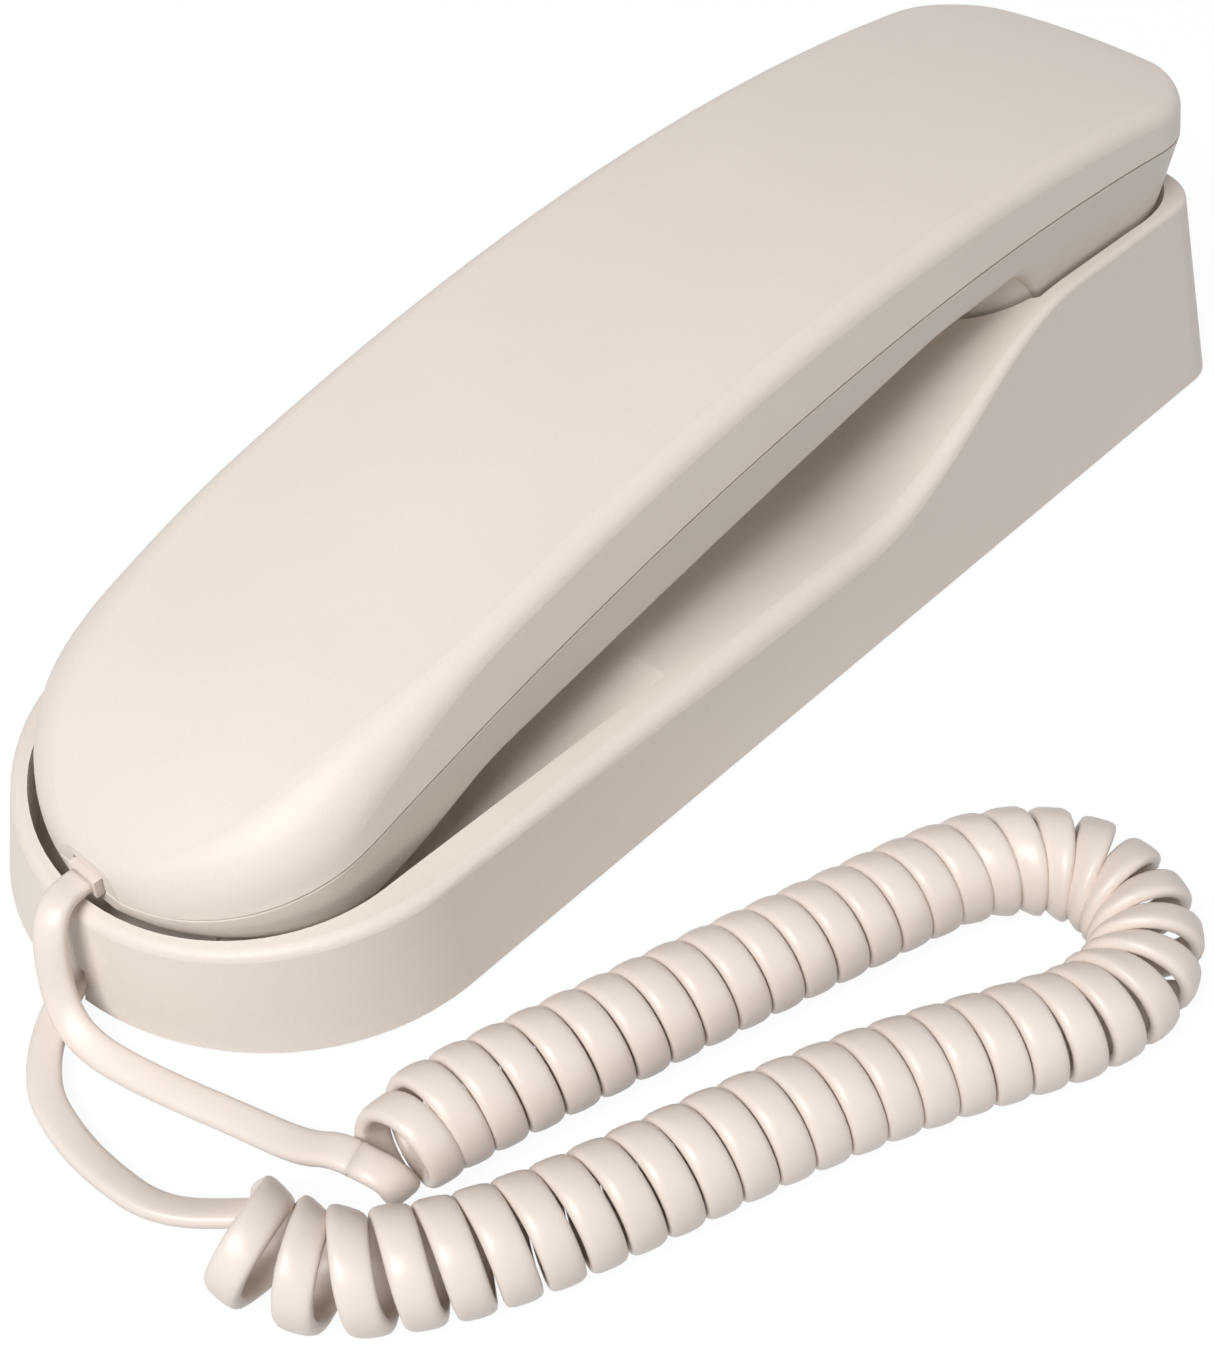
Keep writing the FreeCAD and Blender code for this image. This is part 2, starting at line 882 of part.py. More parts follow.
def make_handset_anchor():
    body = box(
        "handset_anchor_block",
        "sizes.anchor_width",
        "sizes.handset_anchor_length",
        "sizes.handset_anchor_height",
        0,
        anchor_y,
        anchor_seat,
    )
    nose_length = size("handset_anchor_inset") + size("cord_exit_proud")
    nose = box(
        "handset_anchor_nose",
        "sizes.cord_exit_width",
        "sizes.handset_anchor_inset + sizes.cord_exit_proud",
        "sizes.cord_exit_height",
        0,
        front + size("handset_anchor_inset") - nose_length / 2,
        exit_z - size("cord_exit_height") / 2,
    )
    node("handset_cord_anchor", join("handset_cord_anchor", [body, nose]))


make_receiver()
make_microphone()
make_handset_anchor()


# Cradle outline and profiles
def base_outline(inset, z):
    """The base's plan: a long half-ellipse at the cord end, a blunt far end, sides that taper a little."""
    near = base_half_near - inset
    far = base_half_far - inset
    tip = -base_end + inset
    bow = size("base_near_bow") - inset
    end = base_end - inset
    corner = size("base_far_corner")

    def at(x, y):
        return Vector(x, y, z)

    return Part.Wire([
        quarter(at(0, tip), at(near, tip), at(near, tip + bow)),
        line(at(near, tip + bow), at(far, end - corner)),
        quarter(at(far, end - corner), at(far, end), at(far - corner, end)),
        line(at(far - corner, end), at(corner - far, end)),
        quarter(at(corner - far, end), at(-far, end), at(-far, end - corner)),
        line(at(-far, end - corner), at(-near, tip + bow)),
        quarter(at(-near, tip + bow), at(-near, tip), at(0, tip)),
    ])


def drafted(inset, low, high):
    """A solid that leans in as the base's walls do."""
    lean = size("base_lean")
    return Part.makeLoft(
        [base_outline(inset + lean * (low - under), low), base_outline(inset + lean * (high - under), high)],
        True,
        True,
    )


def mouth_room(end, low, high):
    """An upright room round the handset's mouthpiece end, up to end along the length."""
    gap = size("mouth_gap")
    half = handset_half + gap
    bow = size("handset_near_bow") + gap
    tip = front - gap

    def at(x, y):
        return Vector(x, y, low)

    outline = Part.Wire([
        quarter(at(0, tip), at(half, tip), at(half, tip + bow)),
        line(at(half, tip + bow), at(half, end)),
        line(at(half, end), at(-half, end)),
        line(at(-half, end), at(-half, tip + bow)),
        quarter(at(-half, tip + bow), at(-half, tip), at(0, tip)),
    ])
    return Part.Face(outline).extrude(Vector(0, 0, high - low))


saddle_start = mouth_from - size("saddle_lead")
rise_start = ear_from - size("rise_lead")
rise_end = rise_start + size("rise_length")
pocket_end = mouth_from - size("pocket_floor_lead")
ramp_end = pocket_end + size("ramp_length")
sky = rim_far + past


def over_rim():
    """Everything above the rim's line."""

    def at(y, z):
        return Vector(0, y, z)

    swell = Part.BezierCurve()
    swell.setPoles([
        at(-base_end, rim_near),
        at((saddle_start - base_end) / 2, rim_side),
        at(saddle_start, rim_side),
    ])
    rise = Part.BezierCurve()
    rise.setPoles([
        at(rise_start, rim_side),
        at(rise_start + 0.4 * size("rise_length"), rim_side),
        at(rise_start + 0.64 * size("rise_length"), rim_far),
        at(rise_end, rim_far),
    ])
    return across([
        swell.toShape(),
        line(at(saddle_start, rim_side), at(rise_start, rim_side)),
        rise.toShape(),
        line(at(rise_end, rim_far), at(base_end, rim_back)),
        line(at(base_end, rim_back), at(base_end, sky)),
        line(at(base_end, sky), at(-base_end, sky)),
        line(at(-base_end, sky), at(-base_end, rim_near)),
    ], 2 * base_half_near)


def prism_under(points):
    """The room under a broken line, down past the plate."""
    low = under - size("roof")
    ends = [(points[-1][0], low), (points[0][0], low)]
    corners = [Vector(0, y, z) for y, z in points + ends]
    return across(closed(corners), 2 * base_half_near)


roof_points = [
    (-base_end, mouth_roof),
    (pocket_end, mouth_roof),
    (ramp_end, rim_side - size("roof")),
    (rise_start, rim_side - size("roof")),
    (cup_front - 2 * size("base_wall"), ear_roof),
    (base_end, ear_roof),
]


def roof_at(y):
    for (y0, z0), (y1, z1) in zip(roof_points, roof_points[1:]):
        if y0 <= y <= y1:
            return z0 + (z1 - z0) * (y - y0) / (y1 - y0)


base_bosses = [
    (side * size("base_boss_reach"), y)
    for side in (1, -1)
    for y in (-base_end + size("base_boss_near"), base_end - size("base_boss_far"))
]
board_back = base_end - size("base_wall") - size("base_lean") * (board_top - under) - size("board_end_gap")
board_y = board_back - size("base_board_length") / 2
board_front = board_back - size("base_board_length")
jack_top = board_top + size("jack_height")
jack_face = base_end - size("base_lean") * (jack_top - under) - size("jack_recess")
jack_y = jack_face - size("jack_depth") / 2
hook_y = board_front + size("hook_inset")
knob_z = board_top + size("ringer_switch_height") / 2
anchor_back = -base_end + size("anchor_inset") + size("anchor_length")


def rim_radius(y):
    """The rim's rounding: small at both ends, larger on the saddle."""
    if y < rise_start:
        share = ease((y - saddle_start) / (rise_start - saddle_start))
        return size("rim_round") + (size("saddle_round") - size("rim_round")) * share
    share = ease((y - rise_start) / (rise_end - rise_start))
    return size("saddle_round") + (size("ear_rim_round") - size("saddle_round")) * share


def make_cradle():
    blank = formed("cradle_blank", drafted(0.0, under, rim_far + size("roof")).cut(over_rim()))
    rim = []
    for i, edge in enumerate(blank.Shape.Edges, start=1):
        middle = edge.valueAt((edge.FirstParameter + edge.LastParameter) / 2)
        crossing = abs(middle.x) < size("roof") and middle.y < rise_end + size("roof")
        if edge.BoundBox.ZMin > under + size("roof") and not crossing:
            first = edge.valueAt(edge.FirstParameter)
            last = edge.valueAt(edge.LastParameter)
            rim.append((i, rim_radius(first.y), rim_radius(last.y)))
    soft = doc.addObject("Part::Fillet", "cradle_rim")
    soft.Base = blank
    soft.Edges = rim
    soft.recompute()
    shape = soft.Shape

    ramp = (rim_side - mouth_floor) / size("ramp_length")
    corners = [
        Vector(0, -base_end, mouth_floor),
        Vector(0, pocket_end, mouth_floor),
        Vector(0, pocket_end + 2 * size("ramp_length"), mouth_floor + 2 * ramp * size("ramp_length")),
        Vector(0, pocket_end + 2 * size("ramp_length"), sky),
        Vector(0, -base_end, sky),
    ]
    over_ramp = across(closed(corners), base_half_near)
    shape = shape.cut(mouth_room(ramp_end, mouth_floor, sky).common(over_ramp))

    behind = Part.makeBox(4 * base_half_near, base_length, 2 * sky)
    behind.translate(Vector(-2 * base_half_near, ear_from, 0))
    ear_room = handset_lower(-size("ear_gap"), 0.0, 0.0, seam_peak - size("throat_depth"))
    ear_room.translate(Vector(0, 0, size("ear_gap") - size("ear_rest")))
    shape = shape.cut(ear_room.common(behind))

    cavity = drafted(size("base_wall"), under - size("roof"), rim_far).common(prism_under(roof_points))
    shape = shape.cut(cavity)

    ribs = []
    for side in (1, -1):
        mouth_rib_top = mouth_bottom - size("rest_gap")
        ear_rib_top = ear_bottom - size("rest_gap")
        ribs.append(block(
            size("rest_rib_width"),
            0.6 * size("mouth_flat"),
            mouth_floor - 0.5 * size("roof"),
            mouth_rib_top,
            side * size("mouth_rib_reach"),
            mouth_to - 0.3 * size("mouth_flat"),
        ))
        ribs.append(block(
            size("rest_rib_width"),
            0.5 * size("ear_length"),
            ear_floor - 0.5 * size("roof"),
            ear_rib_top,
            side * size("ear_rib_reach"),
            cup_front + 0.5 * size("ear_length"),
        ))
    bosses = [
        upright_cylinder(size("base_boss_radius"), plate_top, roof_at(y) + 0.4 * size("roof"), x, y)
        for x, y in base_bosses
    ]
    shape = shape.fuse(ribs + bosses)

    pilot = size("screw_radius") + size("screw_gap")
    pilot_top = under + size("screw_head_height") + size("screw_length")
    holes = [upright_cylinder(pilot, under, pilot_top, x, y) for x, y in base_bosses]
    holes.append(
        upright_cylinder(
            size("hook_radius") + size("hook_gap"),
            ear_roof - size("roof"),
            ear_floor + size("roof"),
            0,
            hook_y,
        )
    )
    holes.append(block(
        size("notch_width"),
        2 * size("anchor_inset"),
        under - size("roof"),
        under + size("notch_height"),
        0,
        -base_end,
    ))
    holes.append(block(
        size("jack_width") + 2 * size("jack_gap"),
        2 * size("jack_depth"),
        board_top - size("jack_gap"),
        jack_top + 0.5 * size("jack_gap"),
        0,
        base_end + 0.2 * size("jack_depth"),
    ))
    holes.append(block(
        size("knob_width") + size("knob_travel") + 2 * size("knob_gap"),
        2 * size("jack_depth"),
        knob_z - size("knob_height") / 2 - size("knob_gap"),
        knob_z + size("knob_height") / 2 + size("knob_gap"),
        size("knob_reach"),
        base_end + 0.2 * size("jack_depth"),
    ))
    shape = shape.cut(Part.makeCompound(holes)).removeSplitter()
    node("base_cradle", formed("base_cradle", shape))


make_cradle()

feet = [
    (side * size("foot_reach"), end * (base_end - size("foot_inset") - size("foot_radius")))
    for side in (1, -1)
    for end in (1, -1)
]


def make_plate():
    gap = size("base_wall") + size("plate_gap")
    shape = drafted(gap, under, plate_top)
    posts = [
        upright_cylinder(size("post_radius"), under, board_under, x, y)
        for x, y in base_board_posts
    ]
    shape = shape.fuse(posts)
    holes = []
    seat = under + size("screw_head_height")
    for x, y in base_bosses:
        holes.append(upright_cylinder(size("screw_head_radius") + size("hook_gap"), 0, seat, x, y))
        holes.append(upright_cylinder(size("screw_radius") + size("screw_gap"), 0, plate_top + past, x, y))
    for x, y in ring(6, 0.4 * size("ringer_radius"), 0, ringer_y) + [(0, ringer_y)]:
        holes.append(upright_cylinder(size("sound_hole_radius"), 0, plate_top + past, x, y))
    for x, y in base_board_posts:
        holes.append(upright_cylinder(
            size("small_screw_radius") + size("screw_gap"),
            board_top - size("small_screw_length") - size("hook_gap"),
            board_top,
            x,
            y,
        ))
    holes.append(block(size("notch_width"), 2 * size("anchor_inset"), 0, plate_top + past, 0, -base_end))
    shape = shape.cut(Part.makeCompound(holes)).removeSplitter()
    node("base_plate", formed("base_plate", shape))


base_board_posts = [
    (side * (size("base_board_width") / 2 - size("post_inset")), y)
    for side in (1, -1)
    for y in (board_front + size("post_inset"), board_back - size("post_inset") - size("ringer_switch_depth"))
]
ringer_y = board_front - size("ringer_lead") - size("ringer_radius")
make_plate()

foot_items = [
    rod("foot_%d" % i, "sizes.foot_radius", "sizes.foot_height", x, y, 0) for i, (x, y) in enumerate(feet)
]
node("base_feet", group("base_feet", foot_items))
base_screw_items = [
    screw("base_screw_%d" % i, False, under + size("screw_head_height"), x, y, False)
    for i, (x, y) in enumerate(base_bosses)
]
node("base_screws", group("base_screws", base_screw_items))


def make_base_inside():
    ballast_y = ringer_y - size("ringer_radius") - size("ringer_lead") - size("ballast_length") / 2
    ballast = box(
        "base_ballast",
        "sizes.ballast_width",
        "sizes.ballast_length",
        "sizes.ballast_thickness",
        0,
        ballast_y,
        plate_top,
    )
    node("base_ballast", ballast)
    node("ringer", rod("ringer", "sizes.ringer_radius", "sizes.ringer_height", 0, ringer_y, plate_top))
    blank = box(
        "base_board_sheet",
        "sizes.base_board_width",
        "sizes.base_board_length",
        "sizes.base_board_thickness",
        0,
        board_y,
        board_under,
    )
    holes = [
        rod(
            "base_board_hole_%d" % i,
            "sizes.small_screw_radius + sizes.screw_gap",
            "3 * sizes.base_board_thickness",
            x,
            y,
            board_under - size("base_board_thickness"),
        )
        for i, (x, y) in enumerate(base_board_posts)
    ]
    node("base_board", cut("base_board", blank, holes))
    items = [
        screw("base_board_screw_%d" % i, True, board_top, x, y, True)
        for i, (x, y) in enumerate(base_board_posts)
    ]
    node("base_board_screws", group("base_board_screws", items))
    anchor = box(
        "base_cord_anchor",
        "sizes.anchor_width",
        "sizes.anchor_length",
        "sizes.anchor_height",
        0,
        anchor_back - size("anchor_length") / 2,
        plate_top,
    )
    node("base_cord_anchor", anchor)


def make_line_jack():
    body = box(
        "jack_body", "sizes.jack_width", "sizes.jack_depth", "sizes.jack_height", 0, jack_y, board_top
    )
    socket = box(
        "jack_socket",
        "sizes.jack_socket_width",
        "sizes.jack_socket_depth",
        "sizes.jack_socket_height",
        0,
        jack_face - size("jack_socket_depth") / 2,
        board_top + (size("jack_height") - size("jack_socket_height")) / 2,
    )
    node("line_jack", cut("line_jack", body, [socket]))


def biarc(start, heading, end, leaving):
    """Two arcs that join two points with their headings."""
    span = end - start
    both = heading + leaving
    spread = 2 * (1 - heading.dot(leaving))
    along = span.dot(both)
    reach = (math.sqrt(along * along + spread * span.dot(span)) - along) / spread
    joint = (start + heading * reach + end - leaving * reach) * 0.5
    return [half_arc(start, heading, joint, False), half_arc(end, leaving * -1, joint, True)]


def half_arc(start, heading, end, backward):
    chord = end - start
    bend = heading.getAngle(chord)
    aside = (heading - chord * (heading.dot(chord) / chord.dot(chord))).normalize()
    middle = start + chord * 0.5 + aside * (0.5 * chord.Length * math.tan(bend / 2))
    return arc(end, middle, start) if backward else arc(start, middle, end)


def wound_tube(helix, turns, wire):
    """A tube along a winding, on two arcs for each quarter turn, with straight ends."""
    steps = int(round(turns * 4))
    step = turns / steps
    small = step / 400
    points = [helix(i * step) for i in range(steps + 1)]
    headings = [
        (helix(min(i * step + small, turns)) - helix(max(i * step - small, 0.0))).normalize()
        for i in range(steps + 1)
    ]
    edges = [line(points[0] - headings[0] * wire, points[0])]
    for i in range(steps):
        edges += biarc(points[i], headings[i], points[i + 1], headings[i + 1])
    edges.append(line(points[-1], points[-1] + headings[-1] * wire))
    path = Part.Wire(edges)
    ring_at = Part.makeCircle(wire / 2, points[0] - headings[0] * wire, headings[0])
    return path.makePipeShell([Part.Wire(ring_at)], True, False), path, points, headings


def print_winding(label, tube, path, helix, turns, wire):
    plain = math.pi * wire * wire / 4 * path.Length
    per_turn = 48
    samples = [helix(i / per_turn) for i in range(int(turns * per_turn) + 1)]
    least = min(
        (samples[j] - samples[i]).Length
        for i in range(len(samples))
        for j in range(i + per_turn // 2, min(i + 2 * per_turn, len(samples)))
    )
    print(label, "length", round(path.Length, 1), "volume share", round(tube.Volume / plain, 4))
    print(label, "least gap to itself", round(least - wire, 2))


def make_hook():
    top = ear_bottom - size("hook_gap")
    flange_top = ear_roof - size("hook_travel") - size("hook_gap")
    flange_under = flange_top - size("hook_flange_thickness")
    switch_top = board_top + size("hook_switch_height")
    switch = box(
        "hook_switch",
        "sizes.hook_switch_width",
        "sizes.hook_switch_width",
        "sizes.hook_switch_height",
        0,
        hook_y,
        board_top,
    )
    node("hook_switch", switch)
    cap = rod("hook_cap", "sizes.hook_radius", "%f" % (top - flange_top), 0, hook_y, flange_top)
    soft_cap = rounded(
        "hook_cap_round",
        cap,
        0.2 * size("hook_radius"),
        lambda edge: edge.BoundBox.ZMin > top - 1e-3,
    )
    flange = rod(
        "hook_flange",
        "sizes.hook_radius + sizes.hook_flange",
        "sizes.hook_flange_thickness",
        0,
        hook_y,
        flange_under,
    )
    stem_low = switch_top + size("hook_gap")
    stem = rod("hook_stem", "sizes.hook_stem_radius", "%f" % (flange_under - stem_low), 0, hook_y, stem_low)
    node("hook_plunger", join("hook_plunger", [soft_cap, flange, stem]))

    wire = size("spring_wire")
    turns = size("spring_turns")
    coil_low = board_top + wire / 2 + size("spring_gap")
    coil_high = flange_under - wire / 2 - size("spring_gap")

    def helix(turn):
        angle = 2 * math.pi * turn
        around = Vector(math.cos(angle), math.sin(angle), 0) * size("spring_radius")
        return around + Vector(0, hook_y, coil_low + (coil_high - coil_low) * turn / turns)

    spring, path, points, headings = wound_tube(helix, turns, wire)
    print_winding("hook_spring", spring, path, helix, turns, wire)
    node("hook_spring", formed("hook_spring", spring))


def make_ringer_switch():
    body_y = board_back - size("ringer_switch_depth") / 2
    body = box(
        "ringer_switch",
        "sizes.ringer_switch_width + sizes.knob_travel",
        "sizes.ringer_switch_depth",
        "sizes.ringer_switch_height",
        size("knob_reach"),
        body_y,
        board_top,
    )
    node("ringer_switch", body)
    start = board_back + size("knob_gap")
    end = base_end - size("base_lean") * (knob_z - under) + size("knob_proud")
    knob = box(
        "ringer_knob",
        "sizes.knob_width",
        "%f" % (end - start),
        "sizes.knob_height",
        size("knob_reach"),
        (start + end) / 2,
        knob_z - size("knob_height") / 2,
    )
    node("ringer_knob", knob)


make_base_inside()
make_line_jack()
make_hook()
make_ringer_switch()


# Cord and wires
def tube_along(label, points, diameter):
    """A round tube on straight runs joined by arcs as large as the runs allow."""
    edges = []
    radii = []
    start = points[0]
    for before, corner, after in zip(points, points[1:], points[2:]):
        into = (corner - before).normalize()
        out = (after - corner).normalize()
        turn = into.getAngle(out)
        setback = 0.45 * min((corner - before).Length, (after - corner).Length)
        radius = setback / math.tan(turn / 2)
        first = corner - into * setback
        last = corner + out * setback
        inward = (out - into).normalize()
        middle = corner + inward * (radius / math.cos(turn / 2) - radius)
        edges += [line(start, first), arc(first, middle, last)]
        radii.append(round(radius, 1))
        start = last
    edges.append(line(start, points[-1]))
    path = Part.Wire(edges)
    ring_at = Part.makeCircle(diameter / 2, points[0], points[1] - points[0])
    tube = path.makePipeShell([Part.Wire(ring_at)], True, False)
    plain = math.pi * diameter * diameter / 4 * path.Length
    print(label, "length", round(path.Length, 1), "volume share", round(tube.Volume / plain, 4), "radii", radii)
    node(label, formed(label, tube))


def make_wires():
    wire = size("inner_wire")
    boot_side = boot_radius + 2 * wire
    rear = front + size("handset_anchor_inset") + size("handset_anchor_length")
    anchor_middle = anchor_seat + size("handset_anchor_height") / 2
    board_middle = board_at + size("handset_board_thickness") / 2
    aside = size("anchor_width") / 3
    near_edge = -keypad_length / 2
    tube_along("handset_wires", [
        Vector(aside, rear, anchor_middle),
        Vector(aside, rear + 1.2 * wire, anchor_middle),
        Vector(boot_side, microphone_y - 0.5 * boot_radius, anchor_middle + wire),
        Vector(boot_side, microphone_y + boot_radius, anchor_middle + 3 * wire),
        face_frame.multVec(Vector(aside, near_edge - 4 * wire, board_middle)),
        face_frame.multVec(Vector(aside, near_edge, board_middle)),
    ], wire)
    side = 0.6 * size("receiver_radius") - wire
    hub_top = ear_seat + size("gasket_thickness") + size("receiver_height")
    far_edge = keypad_length / 2
    away = face_frame.multVec(Vector(side, far_edge + 4 * wire, board_middle))
    tube_along("receiver_wires", [
        face_frame.multVec(Vector(side, far_edge, board_middle)),
        away,
        Vector(side + 0.5, cup_front + 2.5 * wire, away.z - wire),
        Vector(side, receiver_y - 8 * wire, hub_top + 6 * wire),
        Vector(side - 0.5, receiver_y - 3 * wire, hub_top + 4 * wire),
        Vector(side - 1.0, receiver_y - wire, hub_top + 1.5 * wire),
        Vector(side - 1.0, receiver_y - wire, hub_top),
    ], wire)
    low = plate_top + 0.8 * wire
    beside = size("ballast_width") / 2 + 2 * wire
    edge_z = board_under + size("base_board_thickness") / 2
    ballast_back = ringer_y - size("ringer_radius") - size("ringer_lead")
    tube_along("base_wires", [
        Vector(aside, anchor_back, low),
        Vector(aside, anchor_back + 8 * wire, low),
        Vector(2.5 * aside, anchor_back + 20 * wire, low),
        Vector(0.6 * beside, -base_end + size("base_boss_near") + 10 * wire, low),
        Vector(beside, ballast_back - size("ballast_length"), low),
        Vector(beside + 0.5 * wire, ballast_back - 0.5 * size("ballast_length"), low),
        Vector(beside, ballast_back, low),
        Vector(0.75 * beside, ringer_y, low + wire),
        Vector(0.55 * beside, board_front - 4 * wire, edge_z),
        Vector(0.55 * beside, board_front, edge_z),
    ], wire)


make_wires()

# Route points of the two plain leads, chosen by hand
handset_lead = [
    (0.0, front - size("cord_exit_proud"), exit_z),
    (0.0, front - 2.4, exit_z),
    (0.6, -108.7, 16.5),
    (1.6, -110.7, 15.4),
    (2.5, -111.9, 13.2),
    (3.3, -112.7, 10.4),
    (4.3, -113.4, 7.4),
    (6.0, -114.1, 4.7),
    (8.8, -114.5, 2.4),
    (12.8, -114.2, 1.3),
    (18.0, -113.0, 1.0),
    (24.0, -111.4, 1.0),
    (30.0, -109.6, 1.1),
    (35.4, -108.3, 1.7),
    (39.6, -107.6, 3.0),
    (43.0, -106.9, 4.8),
]
base_lead = [
    (36.9, -121.4, 1.0),
    (32.8, -123.4, 1.0),
    (28.2, -124.6, 1.0),
    (22.8, -124.9, 1.0),
    (17.4, -124.2, 1.0),
    (12.6, -122.4, 1.0),
    (8.6, -119.8, 1.0),
    (5.4, -116.6, 1.0),
    (3.0, -113.0, 1.3),
    (1.3, -109.4, 2.6),
    (0.3, -106.2, 3.9),
]
# Floor points that the curls' axis bends towards
curl_axis = [
    (50.6, -104.4), (50.6, -99.6), (51.6, -93.6), (54.2, -84.8), (57.2, -74.8), (60.5, -63.6), (64.0, -52.2),
    (67.6, -41.0), (70.8, -30.6), (74.2, -21.6), (79.8, -14.6), (88.0, -11.8), (96.2, -15.2),
    (100.3, -23.4), (98.4, -33.2), (92.8, -43.4), (87.2, -53.8), (82.3, -64.8), (78.0, -76.0), (74.2, -87.0),
    (70.6, -96.8), (66.8, -105.0), (62.8, -111.6), (57.6, -117.4), (50.2, -119.6), (43.4, -115.4),
]


def make_curls():
    wire = size("cord_wire")
    poles = [Vector(x, y, 0) for x, y in curl_axis]
    axis = Part.BSplineCurve()
    count = len(poles)
    axis.buildFromPolesMultsKnots(
        poles, [3] + [1] * (count - 3) + [3], [float(i) for i in range(count - 1)], False, 2
    )
    fine = 40 * count
    places = [axis.value((count - 2) * i / fine) for i in range(fine + 1)]
    run = [0.0]
    for a, b in zip(places, places[1:]):
        run.append(run[-1] + (b - a).Length)
    length = run[-1]
    # Turns are closer in the resting curls than in the loose ones at the base's end
    weights = []
    for a, b in zip(run, run[1:]):
        share = 1 - ease((length - (a + b) / 2) / size("loose_length"))
        weights.append((b - a) / (1 + size("loose_share") * share))
    turned = [0.0]
    for weight in weights:
        turned.append(turned[-1] + weight)
    turns = size("curl_turns")
    turned = [turns * value / turned[-1] for value in turned]

    def at_turn(turn):
        """Axis place, heading and distance along it where so many turns are done."""
        low = 0
        high = fine
        while high - low > 1:
            middle = (low + high) // 2
            if turned[middle] <= turn:
                low = middle
            else:
                high = middle
        share = (turn - turned[low]) / (turned[high] - turned[low])
        place = places[low] + (places[high] - places[low]) * share
        heading = axis.tangent((count - 2) * (low + share) / fine)[0]
        return place, heading, run[low] + (run[high] - run[low]) * share

    def helix(turn):
        place, heading, distance = at_turn(min(max(turn, 0.0), turns))
        grown = ease(distance / size("curl_growth"))
        radius = size("curl_start_radius") + (size("curl_radius") - size("curl_start_radius")) * grown
        side = Vector(heading.y, -heading.x, 0)
        angle = 2 * math.pi * turn
        lift = Vector(0, 0, radius + wire / 2 + size("floor_gap"))
        return place + lift + Vector(0, 0, radius * math.cos(angle)) + side * (radius * math.sin(angle))

    curls, path, points, headings = wound_tube(helix, turns, wire)
    print_winding("cord_curls", curls, path, helix, turns, wire)
    node("cord_curls", formed("cord_curls", curls))
    first = points[0] - headings[0] * wire
    last = points[-1] + headings[-1] * wire
    return [first - headings[0] * wire, first], [last, last + headings[-1] * wire]


curl_start, curl_end = make_curls()
tube_along(
    "cord_handset_lead",
    [Vector(*point) for point in handset_lead] + curl_start,
    size("cord_wire"),
)
lead_height = plate_top + size("anchor_height") / 2
anchor_front = anchor_back - size("anchor_length")
tube_along(
    "cord_base_lead",
    curl_end
    + [Vector(*point) for point in base_lead]
    + [Vector(0, anchor_front - 1.5 * size("cord_wire"), lead_height), Vector(0, anchor_front, lead_height)],
    size("cord_wire"),
)

# Check and write every piece
doc.recompute()
faulty = [item.Name for item in doc.Objects if "Invalid" in item.State or "Error" in item.State]
for item in nodes:
    if item.Shape.isNull() or not item.Shape.isValid():
        faulty.append(item.Label)
if faulty:
    raise RuntimeError("faulty: " + ", ".join(faulty))
os.makedirs("parts", exist_ok=True)
for item in nodes:
    item.Shape.exportStep("parts/%s.step" % item.Label)
print(len(nodes), "pieces written")
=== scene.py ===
import bpy
import bmesh
import math
from mathutils import Matrix, Quaternion, Vector


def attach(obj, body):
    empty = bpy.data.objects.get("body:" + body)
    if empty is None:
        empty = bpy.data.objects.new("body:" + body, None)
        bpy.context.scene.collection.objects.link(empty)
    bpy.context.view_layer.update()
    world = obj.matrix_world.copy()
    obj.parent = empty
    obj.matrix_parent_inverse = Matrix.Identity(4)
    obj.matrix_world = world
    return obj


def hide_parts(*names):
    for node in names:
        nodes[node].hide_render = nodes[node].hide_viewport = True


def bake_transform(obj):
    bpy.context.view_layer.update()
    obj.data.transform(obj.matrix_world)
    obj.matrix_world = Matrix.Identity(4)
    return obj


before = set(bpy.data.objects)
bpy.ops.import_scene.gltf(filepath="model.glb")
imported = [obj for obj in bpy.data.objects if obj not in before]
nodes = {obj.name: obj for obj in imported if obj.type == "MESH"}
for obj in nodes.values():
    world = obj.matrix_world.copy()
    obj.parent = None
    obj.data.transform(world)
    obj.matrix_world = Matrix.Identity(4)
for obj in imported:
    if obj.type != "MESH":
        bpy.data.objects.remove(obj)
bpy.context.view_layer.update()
scene = bpy.context.scene
scene.view_settings.view_transform = "Standard"
print("frame loaded,", len(nodes), "nodes")

# camera, solved from the base's outline and the cord on the floor
viewpoint = {
    "target": (0.00992, -0.02137, 0.0),
    "azimuth": 42.57,
    "elevation": 42.93,
    "distance": 0.300,
    "lens": 54.88,
    "sensorWidth": 36,  # in millimetres, as the lens is
    "nearest": 0.01,
    "farthest": 20,
}


def addCamera():
    azimuth = math.radians(viewpoint["azimuth"])
    elevation = math.radians(viewpoint["elevation"])
    back = Vector((
        math.sin(azimuth) * math.cos(elevation),
        -math.cos(azimuth) * math.cos(elevation),
        math.sin(elevation),
    ))
    camera = bpy.data.objects.new("camera", bpy.data.cameras.new("camera"))
    camera.data.lens = viewpoint["lens"]
    camera.data.sensor_width = viewpoint["sensorWidth"]
    camera.data.clip_start = viewpoint["nearest"]
    camera.data.clip_end = viewpoint["farthest"]
    camera.location = Vector(viewpoint["target"]) + back * viewpoint["distance"]
    camera.rotation_mode = "QUATERNION"
    camera.rotation_quaternion = (-back).to_track_quat("-Z", "Y")
    scene.collection.objects.link(camera)
    scene.camera = camera


addCamera()
print("camera placed")


